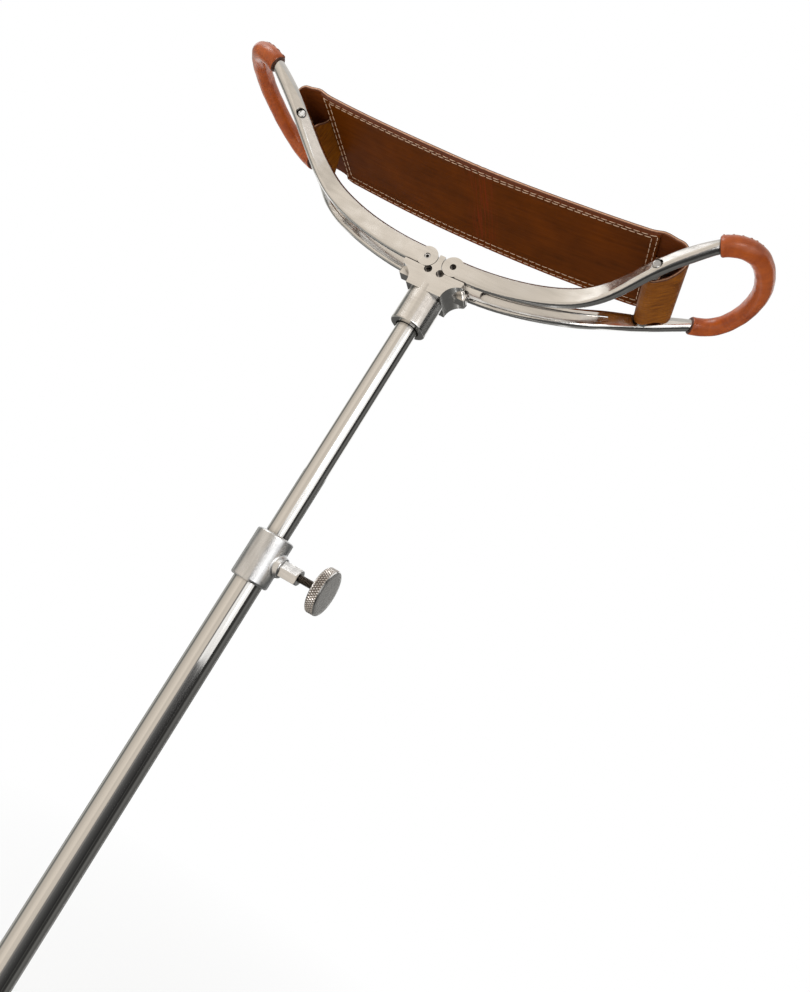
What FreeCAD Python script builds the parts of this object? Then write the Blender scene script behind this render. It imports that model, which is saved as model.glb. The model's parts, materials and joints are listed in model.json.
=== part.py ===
import FreeCAD, Part
import math
import os

# Walking stick seat: a telescopic stick carrying two hinged cast frames with a leather sling
# between them. Millimetres. The stick stands along +Z on its rubber foot at the origin, and
# the seat opens along X. Lengths named "above_pivot" or "out" start at the fold pivots.

Vector = FreeCAD.Vector
X_AXIS = Vector(1, 0, 0)
Y_AXIS = Vector(0, 1, 0)
Z_AXIS = Vector(0, 0, 1)

# Heights of the stick
pivot_height = 760.0
socket_length = 34.0
socket_rim_below_pivot = 55.0
collar_bottom_below_pivot = 280.0
collar_length = 38.0
upper_tube_tail = 190.0

# Tubes
upper_tube_diameter = 17.5
upper_tube_wall = 1.6
lower_tube_diameter = 22.2
lower_tube_wall = 1.4
slide_clearance = 0.15
seat_clearance = 0.05

# Head casting
socket_diameter = 30.0
socket_mouth_gap = 1.0
socket_mouth_depth = 3.0
socket_bore_depth = 26.0
socket_rim_round = 1.4
pivot_half_spacing = 11.4
eye_radius = 8.6
eye_clearance = 0.5
web_top_above_pivot = 5.0
wing_reach = 26.5
wing_thickness = 6.0
wing_clearance = 0.15
wing_stop_drop = 0.6
wing_tip_rise = 0.4
wing_tip_slope = 1.0
wing_tip_thickness = 4.5
wing_edge_round = 1.2
neck_drop = 11.0
neck_bulge = 2.6
neck_bulge_drop = 3.6
neck_overlap = 6.0
tongue_clearance = 0.35
tongue_eye_inset = 0.8
tongue_neck_reach = 6.0
tongue_neck_rise = 6.6
lug_reach = 3.0
lug_width = 9.0
lug_drop = 8.0
lug_rise = 1.2
lug_edge_round = 1.5
relief_radius = 3.2
relief_depth = 4.6
relief_wall = 2.0
relief_below_eye = 1.0
grub_screw_diameter = 5.0
grub_screw_recess = 0.8
grub_key_size = 2.5
grub_key_depth = 2.4

# Fold pins
pin_diameter = 5.0
pin_running_clearance = 0.05
left_pin_recess = 0.6
right_pin_recess = 3.4
pin_socket_diameter = 2.6
pin_socket_depth = 3.0

# Frame halves, one side: out from the pivot, centre half width, height above the pivot,
# bar thickness and bar depth
arm_stations = [
    (0.0, 11.8, 0.0, 6.0, 16.0),
    (25.0, 11.8, 1.0, 6.0, 16.2),
    (55.0, 11.8, 5.5, 6.0, 16.0),
    (85.0, 12.9, 14.0, 6.4, 15.6),
    (103.0, 15.8, 22.0, 7.0, 15.0),
    (117.0, 21.2, 31.5, 7.8, 14.4),
    (129.0, 29.4, 41.0, 8.4, 13.6),
    (141.0, 38.2, 51.5, 9.0, 12.8),
    (153.0, 44.6, 61.0, 9.4, 12.0),
    (164.0, 48.9, 69.0, 9.8, 11.0),
]
arm_edge_round = 2.2
arm_sections = 13
round_start_out = 100.0
round_corner_share = 0.47
round_end_share = 0.49
handle_start_out = 174.6
handle_start_half_width = 52.5
handle_start_height = 76.0
rod_diameter = 10.0
handle_tilt = 21.0
handle_flare = 18.0
handle_corner_radius = 26.0
handle_corner_sweep = 76.0
channel_start_out = 26.0
channel_end_out = 117.0
channel_depth = 2.4
channel_height = 8.6
channel_fade = 0.3
channel_overshoot = 3.0
channel_sections = 7
channel_corner = 0.8
channel_end_share = 0.55

# Handle leather
sleeve_wall = 2.25
sleeve_fit = 0.05
sleeve_end_round = 1.8

# Cross rods
cross_rod_out = 140.1
cross_rod_above_pivot = 51.5
cross_rod_diameter = 8.0
cross_rod_spigot_diameter = 6.0
cross_rod_half_length = 31.0
rod_boss_diameter = 11.0
rod_boss_length = 7.0
rod_boss_gap = 0.1
strap_relief_diameter = 18.0
rivet_face_half_width = 41.6
rivet_head_diameter = 7.0
rivet_head_height = 1.5
rivet_round_share = 0.8
rivet_spot_clearance = 0.4
rivet_spot_depth = 12.0

# Sling seat
sling_end_before_rod = 5.5
sling_half_width = 47.0
sling_end_above_pivot = 71.5
sling_sag = 7.0
seat_leather_thickness = 2.6
seat_lining_thickness = 1.8
lining_gap = 0.05
lining_end_gap = 0.3
loop_rod_clearance = 0.3
loop_shoulder_beyond_rod = 8.3
loop_shoulder_above_rod = 13.0
loop_shoulder_radius = 11.3
loop_neck_half_width = 38.0
loop_foot_half_width = 29.0
loop_foot_margin = 1.0
loop_corner_inset = 3.0
loop_height = 40.0

# Clamp collar and thumb screw
collar_diameter = 28.5
collar_edge_round = 1.8
collar_tube_seat = 15.0
boss_diameter = 16.0
boss_reach = 17.5
boss_flare = 2.5
boss_edge_round = 1.2
nut_across_flats = 12.0
nut_reach = 32.0
nut_spigot_diameter = 9.0
nut_chamfer = 1.2
nut_tip_setback = 0.6
screw_above_collar_bottom = 19.5
screw_diameter = 6.0
screw_clearance = 0.05
pad_diameter = 5.0
pad_length = 2.0
pad_gap = 0.1
screw_to_pad_gap = 0.05
screw_in_wheel = 4.0
wheel_face_reach = 55.8
wheel_thickness = 8.0
wheel_diameter = 36.0
wheel_edge_round = 0.8
collar_pin_diameter = 3.0
collar_pin_recess = 0.3

# Guide bush at the tail of the upper tube
bush_length = 26.0
bush_flange_length = 3.0
bush_pin_diameter = 3.0

# Foot
ferrule_length = 46.0
ferrule_base_diameter = 31.0
ferrule_top_diameter = 23.0
ferrule_tread_depth = 1.6
ferrule_tread_width = 2.0
ferrule_tread_bores = (7.0, 14.0)
ferrule_floor = 9.0
ferrule_foot_height = 9.0
ferrule_foot_step = 1.2
ferrule_foot_round = 1.6
ferrule_top_round = 1.2
washer_thickness = 1.5
washer_diameter = 17.0
spike_diameter = 12.0
spike_tip_diameter = 3.0
spike_point_length = 14.0
spike_fit = 0.1
spike_tip_gap = 0.3
ferrule_to_disc = 6.0
disc_diameter = 78.0
disc_thickness = 3.0
disc_rim_drop = 4.0
disc_rim_thickness = 2.1
disc_edge_round = 0.7
disc_hub_diameter = 26.0
plug_collar_length = 9.0
plug_collar_lip = 1.0
plug_collar_round = 1.2
plug_insert_length = 34.0
plug_pin_diameter = 3.0
plug_pin_below_top = 8.0
spike_tang_length = 24.0
spike_tang_diameter = 8.0

# Values worked out from the sizes above
socket_rim_z = pivot_height - socket_rim_below_pivot
collar_bottom_z = pivot_height - collar_bottom_below_pivot
screw_z = collar_bottom_z + screw_above_collar_bottom
tube_top_z = socket_rim_z + socket_bore_depth
upper_tube_bottom_z = collar_bottom_z - upper_tube_tail
lower_tube_top_z = collar_bottom_z + collar_tube_seat
lower_tube_bore = lower_tube_diameter - 2 * lower_tube_wall
ferrule_top_z = ferrule_length
disc_z = ferrule_top_z + ferrule_to_disc
plug_bottom_z = disc_z + disc_thickness
lower_tube_bottom_z = plug_bottom_z + plug_collar_length
arm_inner_face = arm_stations[0][1] - arm_stations[0][3] / 2
arm_outer_face = arm_stations[0][1] + arm_stations[0][3] / 2
head_width = 2 * arm_outer_face
tongue_half_width = arm_inner_face - tongue_clearance
loop_shoulder_out = cross_rod_out + loop_shoulder_beyond_rod
loop_shoulder_above_pivot = cross_rod_above_pivot + loop_shoulder_above_rod
sling_half_length = pivot_half_spacing + cross_rod_out - sling_end_before_rod
loop_foot_radius = cross_rod_diameter / 2 + loop_rod_clearance + seat_leather_thickness


def cylinder(diameter, start, length, axis=Z_AXIS):
    return Part.makeCylinder(diameter / 2, length, start, axis)


def ring(outer_diameter, inner_diameter, start, length, axis=Z_AXIS):
    outer = cylinder(outer_diameter, start, length, axis)
    return outer.cut(cylinder(inner_diameter, start, length, axis))


def block(low, high):
    return Part.makeBox(high[0] - low[0], high[1] - low[1], high[2] - low[2], Vector(*low))


def mirror_x(shape):
    return shape.mirror(Vector(0, 0, 0), X_AXIS)


def mirror_y(shape):
    return shape.mirror(Vector(0, 0, 0), Y_AXIS)


def fuse(shapes):
    joined = shapes[0].multiFuse(shapes[1:]).removeSplitter()
    if len(joined.Solids) == 1:
        return joined.Solids[0]
    return joined


def edges_near(shape, test):
    return [edge for edge in shape.Edges if test(edge.BoundBox)]


def save(name, shape):
    # One STEP file for each sub-part, named after its node
    if not shape.isValid():
        print("invalid shape", name)
    shape.exportStep(os.path.join("parts", name + ".step"))
    print(name, len(shape.Solids), "solid", round(shape.Volume, 1), "mm3")


def upper_tube():
    length = tube_top_z - upper_tube_bottom_z
    bore = upper_tube_diameter - 2 * upper_tube_wall
    return ring(upper_tube_diameter, bore, Vector(0, 0, upper_tube_bottom_z), length)


def guide_bush():
    # A nylon bush plugs the tube's tail and slides in the lower tube on its flange
    bore = upper_tube_diameter - 2 * upper_tube_wall
    spigot_bottom = Vector(0, 0, upper_tube_bottom_z)
    spigot = cylinder(bore - 2 * seat_clearance, spigot_bottom, bush_length)
    flange_bottom = Vector(0, 0, upper_tube_bottom_z - bush_flange_length)
    flange = cylinder(lower_tube_bore - 2 * slide_clearance, flange_bottom, bush_flange_length)
    hole = cylinder(bore / 2, flange_bottom, bush_length + bush_flange_length)
    return fuse([spigot, flange]).cut(hole).cut(bush_pin_hole())


def bush_pin_hole():
    pin_z = upper_tube_bottom_z + bush_length / 2
    start = Vector(0, -upper_tube_diameter / 2, pin_z)
    return cylinder(bush_pin_diameter + 2 * seat_clearance, start, upper_tube_diameter, Y_AXIS)


def bush_pin():
    pin_z = upper_tube_bottom_z + bush_length / 2
    half = upper_tube_diameter / 2 - seat_clearance
    return cylinder(bush_pin_diameter, Vector(0, -half, pin_z), 2 * half, Y_AXIS)


def wing_profile():
    # Front outline of the right half of the head, from the web down to the socket
    pivot = Vector(pivot_half_spacing, 0, pivot_height)
    reach = eye_radius + eye_clearance
    web = pivot_half_spacing - reach
    stop_z = pivot_height - arm_stations[0][4] / 2 - wing_clearance - wing_stop_drop
    socket_r = socket_diameter / 2
    drop = math.sqrt(reach ** 2 - (pivot_height - stop_z) ** 2)
    sweep_from = Vector(web, 0, pivot_height)
    sweep_to = Vector(pivot_half_spacing - drop, 0, stop_z)
    middle_angle = (math.pi + math.atan2(stop_z - pivot_height, -drop) + 2 * math.pi) / 2
    sweep_middle = pivot + Vector(math.cos(middle_angle), 0, math.sin(middle_angle)) * reach
    web_top = Vector(web, 0, pivot_height + web_top_above_pivot)
    tip_top = Vector(wing_reach, 0, stop_z + wing_tip_rise)
    tip_low = Vector(wing_reach - wing_tip_slope, 0, stop_z - wing_tip_thickness)
    neck = Vector(socket_r, 0, stop_z - wing_thickness - neck_drop)
    neck_middle = Vector(socket_r + neck_bulge, 0, stop_z - wing_thickness - neck_bulge_drop)
    base = Vector(socket_r, 0, socket_rim_z + socket_length - neck_overlap)
    return [
        Part.makeLine(Vector(0, 0, web_top.z), web_top),
        Part.makeLine(web_top, sweep_from),
        Part.Arc(sweep_from, sweep_middle, sweep_to).toShape(),
        Part.makeLine(sweep_to, tip_top),
        Part.makeLine(tip_top, tip_low),
        Part.Arc(tip_low, neck_middle, neck).toShape(),
        Part.makeLine(neck, base),
        Part.makeLine(base, Vector(0, 0, base.z)),
        Part.makeLine(Vector(0, 0, base.z), Vector(0, 0, web_top.z)),
    ]


def head_casting():
    half = head_width / 2
    face = Part.Face(Part.Wire(wing_profile()))
    face.translate(Vector(0, -half, 0))
    right_side = face.extrude(Y_AXIS * head_width)
    body = fuse([right_side, mirror_x(right_side)])
    near_tip = wing_reach - 2 * wing_tip_slope
    tips = edges_near(body, lambda box: box.YLength > half and abs(box.XMin) > near_tip)
    body = body.makeFillet(wing_edge_round, tips)
    socket = cylinder(socket_diameter, Vector(0, 0, socket_rim_z), socket_length)
    rim_edges = edges_near(socket, lambda box: box.ZMax < socket_rim_z + 0.01)
    socket = socket.makeFillet(socket_rim_round, rim_edges)
    head = fuse([body, socket, tongue(), mirror_x(tongue())])
    tube_bore = upper_tube_diameter + 2 * seat_clearance
    head = head.cut(cylinder(tube_bore, Vector(0, 0, socket_rim_z), socket_bore_depth))
    mouth = tube_bore + 2 * socket_mouth_gap
    head = head.cut(cylinder(mouth, Vector(0, 0, socket_rim_z), socket_mouth_depth))
    grub = Vector(0, 0, grub_screw_z())
    grub_hole = grub_screw_diameter + 2 * seat_clearance
    head = head.cut(cylinder(grub_hole, grub, socket_diameter, Y_AXIS))
    for side in (-1, 1):
        pin_start = Vector(side * pivot_half_spacing, -half, pivot_height)
        head = head.cut(cylinder(pin_diameter + 2 * seat_clearance, pin_start, head_width, Y_AXIS))
        for face_side in (-1, 1):
            relief = Vector(side * (relief_radius + relief_wall), face_side * half,
                            pivot_height - eye_radius - relief_below_eye)
            head = head.cut(cylinder(2 * relief_radius, relief, relief_depth, Y_AXIS * -face_side))
    return head


def tongue():
    # The right half's knuckle between the two arms, with the cast lug that backs the stop
    eye_start = Vector(pivot_half_spacing, -tongue_half_width, pivot_height)
    eye = cylinder(2 * (eye_radius - tongue_eye_inset), eye_start, 2 * tongue_half_width, Y_AXIS)
    stop_z = pivot_height - eye_radius - eye_clearance
    neck = block((0, -tongue_half_width, stop_z - wing_thickness),
                 (pivot_half_spacing + tongue_neck_reach, tongue_half_width, stop_z + tongue_neck_rise))
    lug = block((wing_reach - lug_width, -lug_width / 2, stop_z - lug_drop),
                (wing_reach + lug_reach, lug_width / 2, stop_z + lug_rise))
    lug_edges = edges_near(lug, lambda box: box.XMin > wing_reach and box.XLength < 0.01)
    return fuse([eye, neck, lug.makeFillet(lug_edge_round, lug_edges)])


def grub_screw_z():
    return socket_rim_z + socket_bore_depth / 2


def head_grub_screw():
    # Set screw at the back of the socket, tightened on the tube
    start_y = upper_tube_diameter / 2 + seat_clearance
    length = socket_diameter / 2 - start_y - grub_screw_recess
    screw = cylinder(grub_screw_diameter, Vector(0, start_y, grub_screw_z()), length, Y_AXIS)
    key_start = Vector(0, start_y + length - grub_key_depth, grub_screw_z())
    return screw.cut(hexagon_prism(grub_key_size, key_start, grub_key_depth, Y_AXIS))


def hexagon_prism(across_flats, start, length, axis):
    turn = FreeCAD.Rotation(Z_AXIS, axis)
    radius = across_flats / math.sqrt(3)
    corners = []
    for corner in range(7):
        angle = math.radians(60 * corner + 30)
        flat = Vector(radius * math.cos(angle), radius * math.sin(angle), 0)
        corners.append(turn.multVec(flat) + start)
    return Part.Face(Part.makePolygon(corners)).extrude(axis * length)


def fold_pin(side, recess):
    half = arm_outer_face - recess
    start = Vector(side * pivot_half_spacing, -half, pivot_height)
    pin = cylinder(pin_diameter, start, 2 * half, Y_AXIS)
    pin = pin.cut(cylinder(pin_socket_diameter, start, pin_socket_depth, Y_AXIS))
    far_end = Vector(side * pivot_half_spacing, half, pivot_height)
    return pin.cut(cylinder(pin_socket_diameter, far_end, pin_socket_depth, Y_AXIS * -1))


def bar_section(width, depth, corner, centre, along):
    # Rounded rectangle square to the direction "along", its depth upright
    across = along.cross(Z_AXIS)
    across.normalize()
    up = across.cross(along)
    half_w = width / 2
    half_d = depth / 2
    inset = corner * (1 - math.sqrt(0.5))
    corners = []
    for sx, sy in [(1, 1), (-1, 1), (-1, -1), (1, -1)]:
        on_side = (sx * half_w, sy * (half_d - corner))
        on_top = (sx * (half_w - corner), sy * half_d)
        middle = (sx * (half_w - inset), sy * (half_d - inset))
        ends = (on_side, middle, on_top) if sx == sy else (on_top, middle, on_side)
        corners.append([centre + across * a + up * b for a, b in ends])
    edges = []
    for this_corner, next_corner in zip(corners, corners[1:] + corners[:1]):
        edges.append(Part.Arc(*this_corner).toShape())
        edges.append(Part.makeLine(this_corner[2], next_corner[0]))
    return Part.Wire(edges)


def handle_along():
    # Direction of the rod where the arm meets the handle
    flare = math.radians(handle_flare)
    tilt = math.radians(handle_tilt)
    return Vector(math.cos(flare) * math.cos(tilt), math.sin(flare), math.cos(flare) * math.sin(tilt))


def arm_centreline():
    # Smooth line through the stations of the right far arm, from the pivot to the handle
    spots = [Vector(pivot_half_spacing + s[0], s[1], pivot_height + s[2]) for s in arm_stations]
    line = Part.BSplineCurve()
    line.interpolate(spots + [handle_start()])
    return line


def handle_start():
    return Vector(pivot_half_spacing + handle_start_out, handle_start_half_width,
                  pivot_height + handle_start_height)


def arm():
    line = arm_centreline()
    sections = [section_at(line, spot) for spot in line.toShape().discretize(Number=arm_sections)]
    last = handle_start()
    corner = rod_diameter * round_end_share
    sections[-1] = bar_section(rod_diameter, rod_diameter, corner, last, handle_along())
    bar = Part.makeLoft(sections, True, False)
    eye_width = arm_stations[0][3]
    eye_start = Vector(pivot_half_spacing, arm_inner_face, pivot_height)
    eye = cylinder(2 * eye_radius, eye_start, eye_width, Y_AXIS)
    return fuse([bar, eye])


def section_at(line, spot):
    # Flat bar at the pivot that grows round towards the handle
    out = spot.x - pivot_half_spacing
    width, depth = size_at_out(out)
    share = max(0.0, (out - round_start_out) / (handle_start_out - round_start_out))
    corner = arm_edge_round + (rod_diameter * round_corner_share - arm_edge_round) * share
    return bar_section(width, depth, corner, spot, line.tangent(line.parameter(spot))[0])


def channel_cutter():
    # Scooped channel in the arm's inner face, round at the pivot end and fading outwards
    line = arm_centreline()
    start_at = parameter_at_out(line, channel_start_out)
    end_at = parameter_at_out(line, channel_end_out)
    sections = []
    for step in range(channel_sections):
        share = step / (channel_sections - 1)
        parameter = start_at + (end_at - start_at) * share
        centre = line.value(parameter)
        along = line.tangent(parameter)[0]
        across = along.cross(Z_AXIS)
        across.normalize()
        fade = 1.0 - share ** 2
        cut_depth = channel_fade + (channel_depth - channel_fade) * fade
        cut_height = channel_height * (channel_end_share + (1 - channel_end_share) * fade)
        width = size_at_out(centre.x - pivot_half_spacing)[0]
        middle = centre + across * (width / 2 + channel_overshoot / 2 - cut_depth / 2)
        cut_width = cut_depth + channel_overshoot
        sections.append(bar_section(cut_width, cut_height, channel_corner, middle, along))
    groove = Part.makeLoft(sections, True, False)
    start = line.value(start_at)
    round_start = Vector(start.x, arm_inner_face - channel_overshoot, start.z)
    round_end = cylinder(channel_height, round_start, channel_depth + channel_overshoot, Y_AXIS)
    return groove, round_end


def parameter_at_out(line, out):
    low = line.FirstParameter
    high = line.LastParameter
    for _ in range(40):
        middle = (low + high) / 2
        if line.value(middle).x < pivot_half_spacing + out:
            low = middle
        else:
            high = middle
    return (low + high) / 2


def size_at_out(out):
    end = (handle_start_out, 0, 0, rod_diameter, rod_diameter)
    for near, far in zip(arm_stations, arm_stations[1:] + [end]):
        if near[0] <= out <= far[0]:
            share = (out - near[0]) / (far[0] - near[0])
            return near[3] + (far[3] - near[3]) * share, near[4] + (far[4] - near[4]) * share
    return rod_diameter, rod_diameter


def bent_tube(outer_radius, inner_radius):
    # The handle's three-centred arch: a tight corner, a wide end and a tight corner
    tilt = math.radians(handle_tilt)
    flat_axis = Vector(math.cos(tilt), 0, math.sin(tilt))
    normal = flat_axis.cross(Y_AXIS)
    flare = math.radians(handle_flare)
    turn = math.radians(handle_corner_sweep)
    corner_end = turn - flare
    start = handle_start()
    start_right = flat_axis * math.sin(flare) - Y_AXIS * math.cos(flare)
    corner_centre = start + start_right * handle_corner_radius
    end_out = flat_axis * math.sin(corner_end) + Y_AXIS * math.cos(corner_end)
    corner_finish = corner_centre + end_out * handle_corner_radius
    wide_radius = corner_finish.y / math.cos(corner_end)
    wide_centre = corner_finish - end_out * wide_radius
    corner = ring_face(start, handle_along(), outer_radius, inner_radius)
    corner_piece = corner.revolve(corner_centre, normal * -1, handle_corner_sweep)
    wide = ring_face(corner_finish, end_out.cross(normal) * -1, outer_radius, inner_radius)
    wide_piece = wide.revolve(wide_centre, normal * -1, 2 * (90 - math.degrees(corner_end)))
    return fuse([corner_piece, wide_piece, mirror_y(corner_piece)])


def ring_face(centre, along, outer_radius, inner_radius):
    outer = Part.Wire(Part.makeCircle(outer_radius, centre, along))
    if inner_radius <= 0:
        return Part.Face(outer)
    inner = Part.Wire(Part.makeCircle(inner_radius, centre, along))
    return Part.Face(outer).cut(Part.Face(inner)).Faces[0]


def handle_leather():
    inner_radius = rod_diameter / 2 + sleeve_fit
    outer_radius = rod_diameter / 2 + sleeve_wall
    sleeve = bent_tube(outer_radius, inner_radius)
    start = handle_start()
    end_edges = []
    for edge in sleeve.Edges:
        centre = edge.BoundBox.Center
        at_start = (Vector(centre.x, abs(centre.y), centre.z) - start).Length < 0.5
        if at_start and edge.Length > 2 * math.pi * (inner_radius + 0.5):
            end_edges.append(edge)
    return sleeve.makeFillet(sleeve_end_round, end_edges)


def rod_position():
    return Vector(pivot_half_spacing + cross_rod_out, 0, pivot_height + cross_rod_above_pivot)


def frame_half():
    one_arm = arm()
    groove, round_end = channel_cutter()
    one_arm = one_arm.cut(groove).cut(round_end)
    rod = rod_position()
    boss_start = rod + Y_AXIS * (cross_rod_half_length + rod_boss_gap)
    boss = cylinder(rod_boss_diameter, boss_start, rod_boss_length, Y_AXIS)
    strap_relief = cylinder(strap_relief_diameter, rod, cross_rod_half_length + rod_boss_gap, Y_AXIS)
    one_arm = fuse([one_arm.cut(strap_relief), boss])
    spot_face = rod + Y_AXIS * rivet_face_half_width
    spot = cylinder(rivet_head_diameter + 2 * rivet_spot_clearance, spot_face, rivet_spot_depth, Y_AXIS)
    rivet_hole = cylinder(cross_rod_spigot_diameter + 2 * seat_clearance, rod, sling_half_width, Y_AXIS)
    one_arm = one_arm.cut(spot).cut(rivet_hole)
    core = bent_tube(rod_diameter / 2, 0)
    half = fuse([one_arm, mirror_y(one_arm), core])
    pin_hole = pin_diameter + 2 * pin_running_clearance
    start = Vector(pivot_half_spacing, -head_width, pivot_height)
    return half.cut(cylinder(pin_hole, start, 2 * head_width, Y_AXIS))


def cross_rod():
    rod = rod_position()
    start = rod - Y_AXIS * cross_rod_half_length
    bar = cylinder(cross_rod_diameter, start, 2 * cross_rod_half_length, Y_AXIS)
    spigot_start = rod - Y_AXIS * rivet_face_half_width
    spigot = cylinder(cross_rod_spigot_diameter, spigot_start, 2 * rivet_face_half_width, Y_AXIS)
    head_start = rod + Y_AXIS * rivet_face_half_width
    head = cylinder(rivet_head_diameter, head_start, rivet_head_height, Y_AXIS)
    rim = edges_near(head, lambda box: box.YMin > head_start.y + rivet_head_height - 0.01)
    head = head.makeFillet(rivet_head_height * rivet_round_share, rim)
    return fuse([bar, spigot, head, mirror_y(head)])


def sagging_strip(low, high, half_length):
    # A strip that hangs in a shallow arc; low and high are heights over the arc at the ends
    middle_z = pivot_height + sling_end_above_pivot - sling_sag
    end_z = middle_z + sling_sag * (half_length / sling_half_length) ** 2
    faces = []
    for height in (low, high):
        left = Vector(-half_length, 0, end_z + height)
        right = Vector(half_length, 0, end_z + height)
        faces.append(Part.Arc(left, Vector(0, 0, middle_z + height), right).toShape())
    ends = []
    for x in (-half_length, half_length):
        ends.append(Part.makeLine(Vector(x, 0, end_z + low), Vector(x, 0, end_z + high)))
    face = Part.Face(Part.Wire(Part.sortEdges(faces + ends)[0]))
    face.translate(Vector(0, -sling_half_width, 0))
    return face.extrude(Y_AXIS * 2 * sling_half_width)


def belt_face(shoulder_radius, foot_radius, left_x, top_z):
    # Outline of a strap round the shoulder and the rod, square at the sling's end
    rod = rod_position()
    shoulder = Vector(pivot_half_spacing + loop_shoulder_out, 0, pivot_height + loop_shoulder_above_pivot)
    gap = shoulder - rod
    spread = gap.Length
    lean = math.atan2(gap.z, gap.x)
    offset = math.acos((foot_radius - shoulder_radius) / spread)
    touch = lean - offset
    side = Vector(math.cos(touch), 0, math.sin(touch))
    foot_touch = rod + side * foot_radius
    shoulder_touch = shoulder + side * shoulder_radius
    foot_left = rod - X_AXIS * foot_radius
    foot_angle = (touch - math.pi) / 2
    foot_middle = rod + Vector(math.cos(foot_angle), 0, math.sin(foot_angle)) * foot_radius
    shoulder_top = shoulder + Z_AXIS * shoulder_radius
    shoulder_angle = (touch + math.pi / 2) / 2
    shoulder_out = Vector(math.cos(shoulder_angle), 0, math.sin(shoulder_angle))
    shoulder_middle = shoulder + shoulder_out * shoulder_radius
    corner = Vector(left_x, 0, top_z)
    edges = [
        Part.makeLine(corner, Vector(left_x, 0, rod.z)),
        Part.Arc(foot_left, foot_middle, foot_touch).toShape(),
        Part.makeLine(foot_touch, shoulder_touch),
        Part.Arc(shoulder_touch, shoulder_middle, shoulder_top).toShape(),
        Part.makeLine(shoulder_top, corner),
    ]
    return Part.Face(Part.Wire(edges))


def end_loop():
    # The strap goes over the shoulder, under the cross rod and back up to the sling
    rod = rod_position()
    sheet_low = pivot_height + sling_end_above_pivot + seat_lining_thickness + lining_gap
    sheet_top = sheet_low + seat_leather_thickness
    outer = belt_face(loop_shoulder_radius, loop_foot_radius, rod.x - loop_foot_radius, sheet_top)
    inner_foot = loop_foot_radius - seat_leather_thickness
    inner_radius = loop_shoulder_radius - seat_leather_thickness
    inner = belt_face(inner_radius, inner_foot, rod.x - inner_foot, sheet_low)
    strap = outer.cut(inner).Faces[0]
    strap.translate(Vector(0, -sling_half_width, 0))
    strap = strap.extrude(Y_AXIS * 2 * sling_half_width)
    return strap.common(taper_prism())


def taper_prism():
    # The strap narrows towards the rod so that it runs between the arms
    shoulder_z = pivot_height + loop_shoulder_above_pivot
    start_x = sling_half_length - loop_corner_inset
    end_x = pivot_half_spacing + loop_shoulder_out + loop_shoulder_radius + loop_foot_margin
    upper = tapered_slab(start_x, sling_half_width, end_x, loop_neck_half_width,
                         shoulder_z, shoulder_z + loop_height)
    rod = rod_position()
    foot_reach = loop_foot_radius + loop_foot_margin
    lower = tapered_slab(rod.x + foot_reach, loop_foot_half_width, end_x, loop_neck_half_width,
                         shoulder_z - loop_height, shoulder_z)
    foot = block((rod.x - foot_reach, -loop_foot_half_width, shoulder_z - loop_height),
                 (rod.x + foot_reach, loop_foot_half_width, shoulder_z))
    return fuse([upper, lower, foot])


def tapered_slab(near_x, near_half, far_x, far_half, low_z, high_z):
    corners = [
        Vector(near_x, -near_half, low_z),
        Vector(far_x, -far_half, low_z),
        Vector(far_x, far_half, low_z),
        Vector(near_x, near_half, low_z),
        Vector(near_x, -near_half, low_z),
    ]
    return Part.Face(Part.makePolygon(corners)).extrude(Z_AXIS * (high_z - low_z))


def seat_leather():
    low = seat_lining_thickness + lining_gap
    sheet = sagging_strip(low, low + seat_leather_thickness, sling_half_length)
    loop = end_loop()
    return fuse([sheet, loop, mirror_x(loop)])


def seat_lining():
    half_length = rod_position().x - loop_foot_radius - lining_end_gap
    return sagging_strip(0, seat_lining_thickness, half_length)


def lower_tube():
    length = lower_tube_top_z - lower_tube_bottom_z
    return ring(lower_tube_diameter, lower_tube_bore, Vector(0, 0, lower_tube_bottom_z), length)


def clamp_collar():
    collar = cylinder(collar_diameter, Vector(0, 0, collar_bottom_z), collar_length)
    collar = collar.makeFillet(collar_edge_round, edges_near(collar, lambda box: box.ZLength < 0.01))
    boss = cylinder(boss_diameter, Vector(0, 0, screw_z), boss_reach, X_AXIS)
    body = fuse([collar, boss])
    outer = collar_diameter / 2 - boss_edge_round
    joint = edges_near(body, lambda box: 0 < box.XMin < outer and box.ZLength > boss_diameter - 1)
    body = body.makeFillet(boss_flare, joint)
    tip = edges_near(body, lambda box: box.XMin > boss_reach - 0.01)
    body = body.makeFillet(boss_edge_round, tip)
    tube_seat = lower_tube_diameter + 2 * seat_clearance
    body = body.cut(cylinder(tube_seat, Vector(0, 0, collar_bottom_z), collar_tube_seat))
    slide_bore = upper_tube_diameter + 2 * slide_clearance
    body = body.cut(cylinder(slide_bore, Vector(0, 0, collar_bottom_z), collar_length))
    nut_seat = nut_spigot_diameter + 2 * seat_clearance
    body = body.cut(cylinder(nut_seat, Vector(0, 0, screw_z), boss_reach, X_AXIS))
    return body.cut(collar_pin_hole())


def collar_pin_z():
    return collar_bottom_z + collar_tube_seat / 2


def collar_pin_hole():
    # Pin at the back, through the collar wall into the lower tube
    start = Vector(0, upper_tube_diameter / 2, collar_pin_z())
    return cylinder(collar_pin_diameter + 2 * seat_clearance, start, collar_diameter / 2, Y_AXIS)


def collar_pin():
    start_y = lower_tube_bore / 2
    start = Vector(0, start_y, collar_pin_z())
    length = collar_diameter / 2 - start_y - collar_pin_recess
    return cylinder(collar_pin_diameter, start, length, Y_AXIS)


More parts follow.
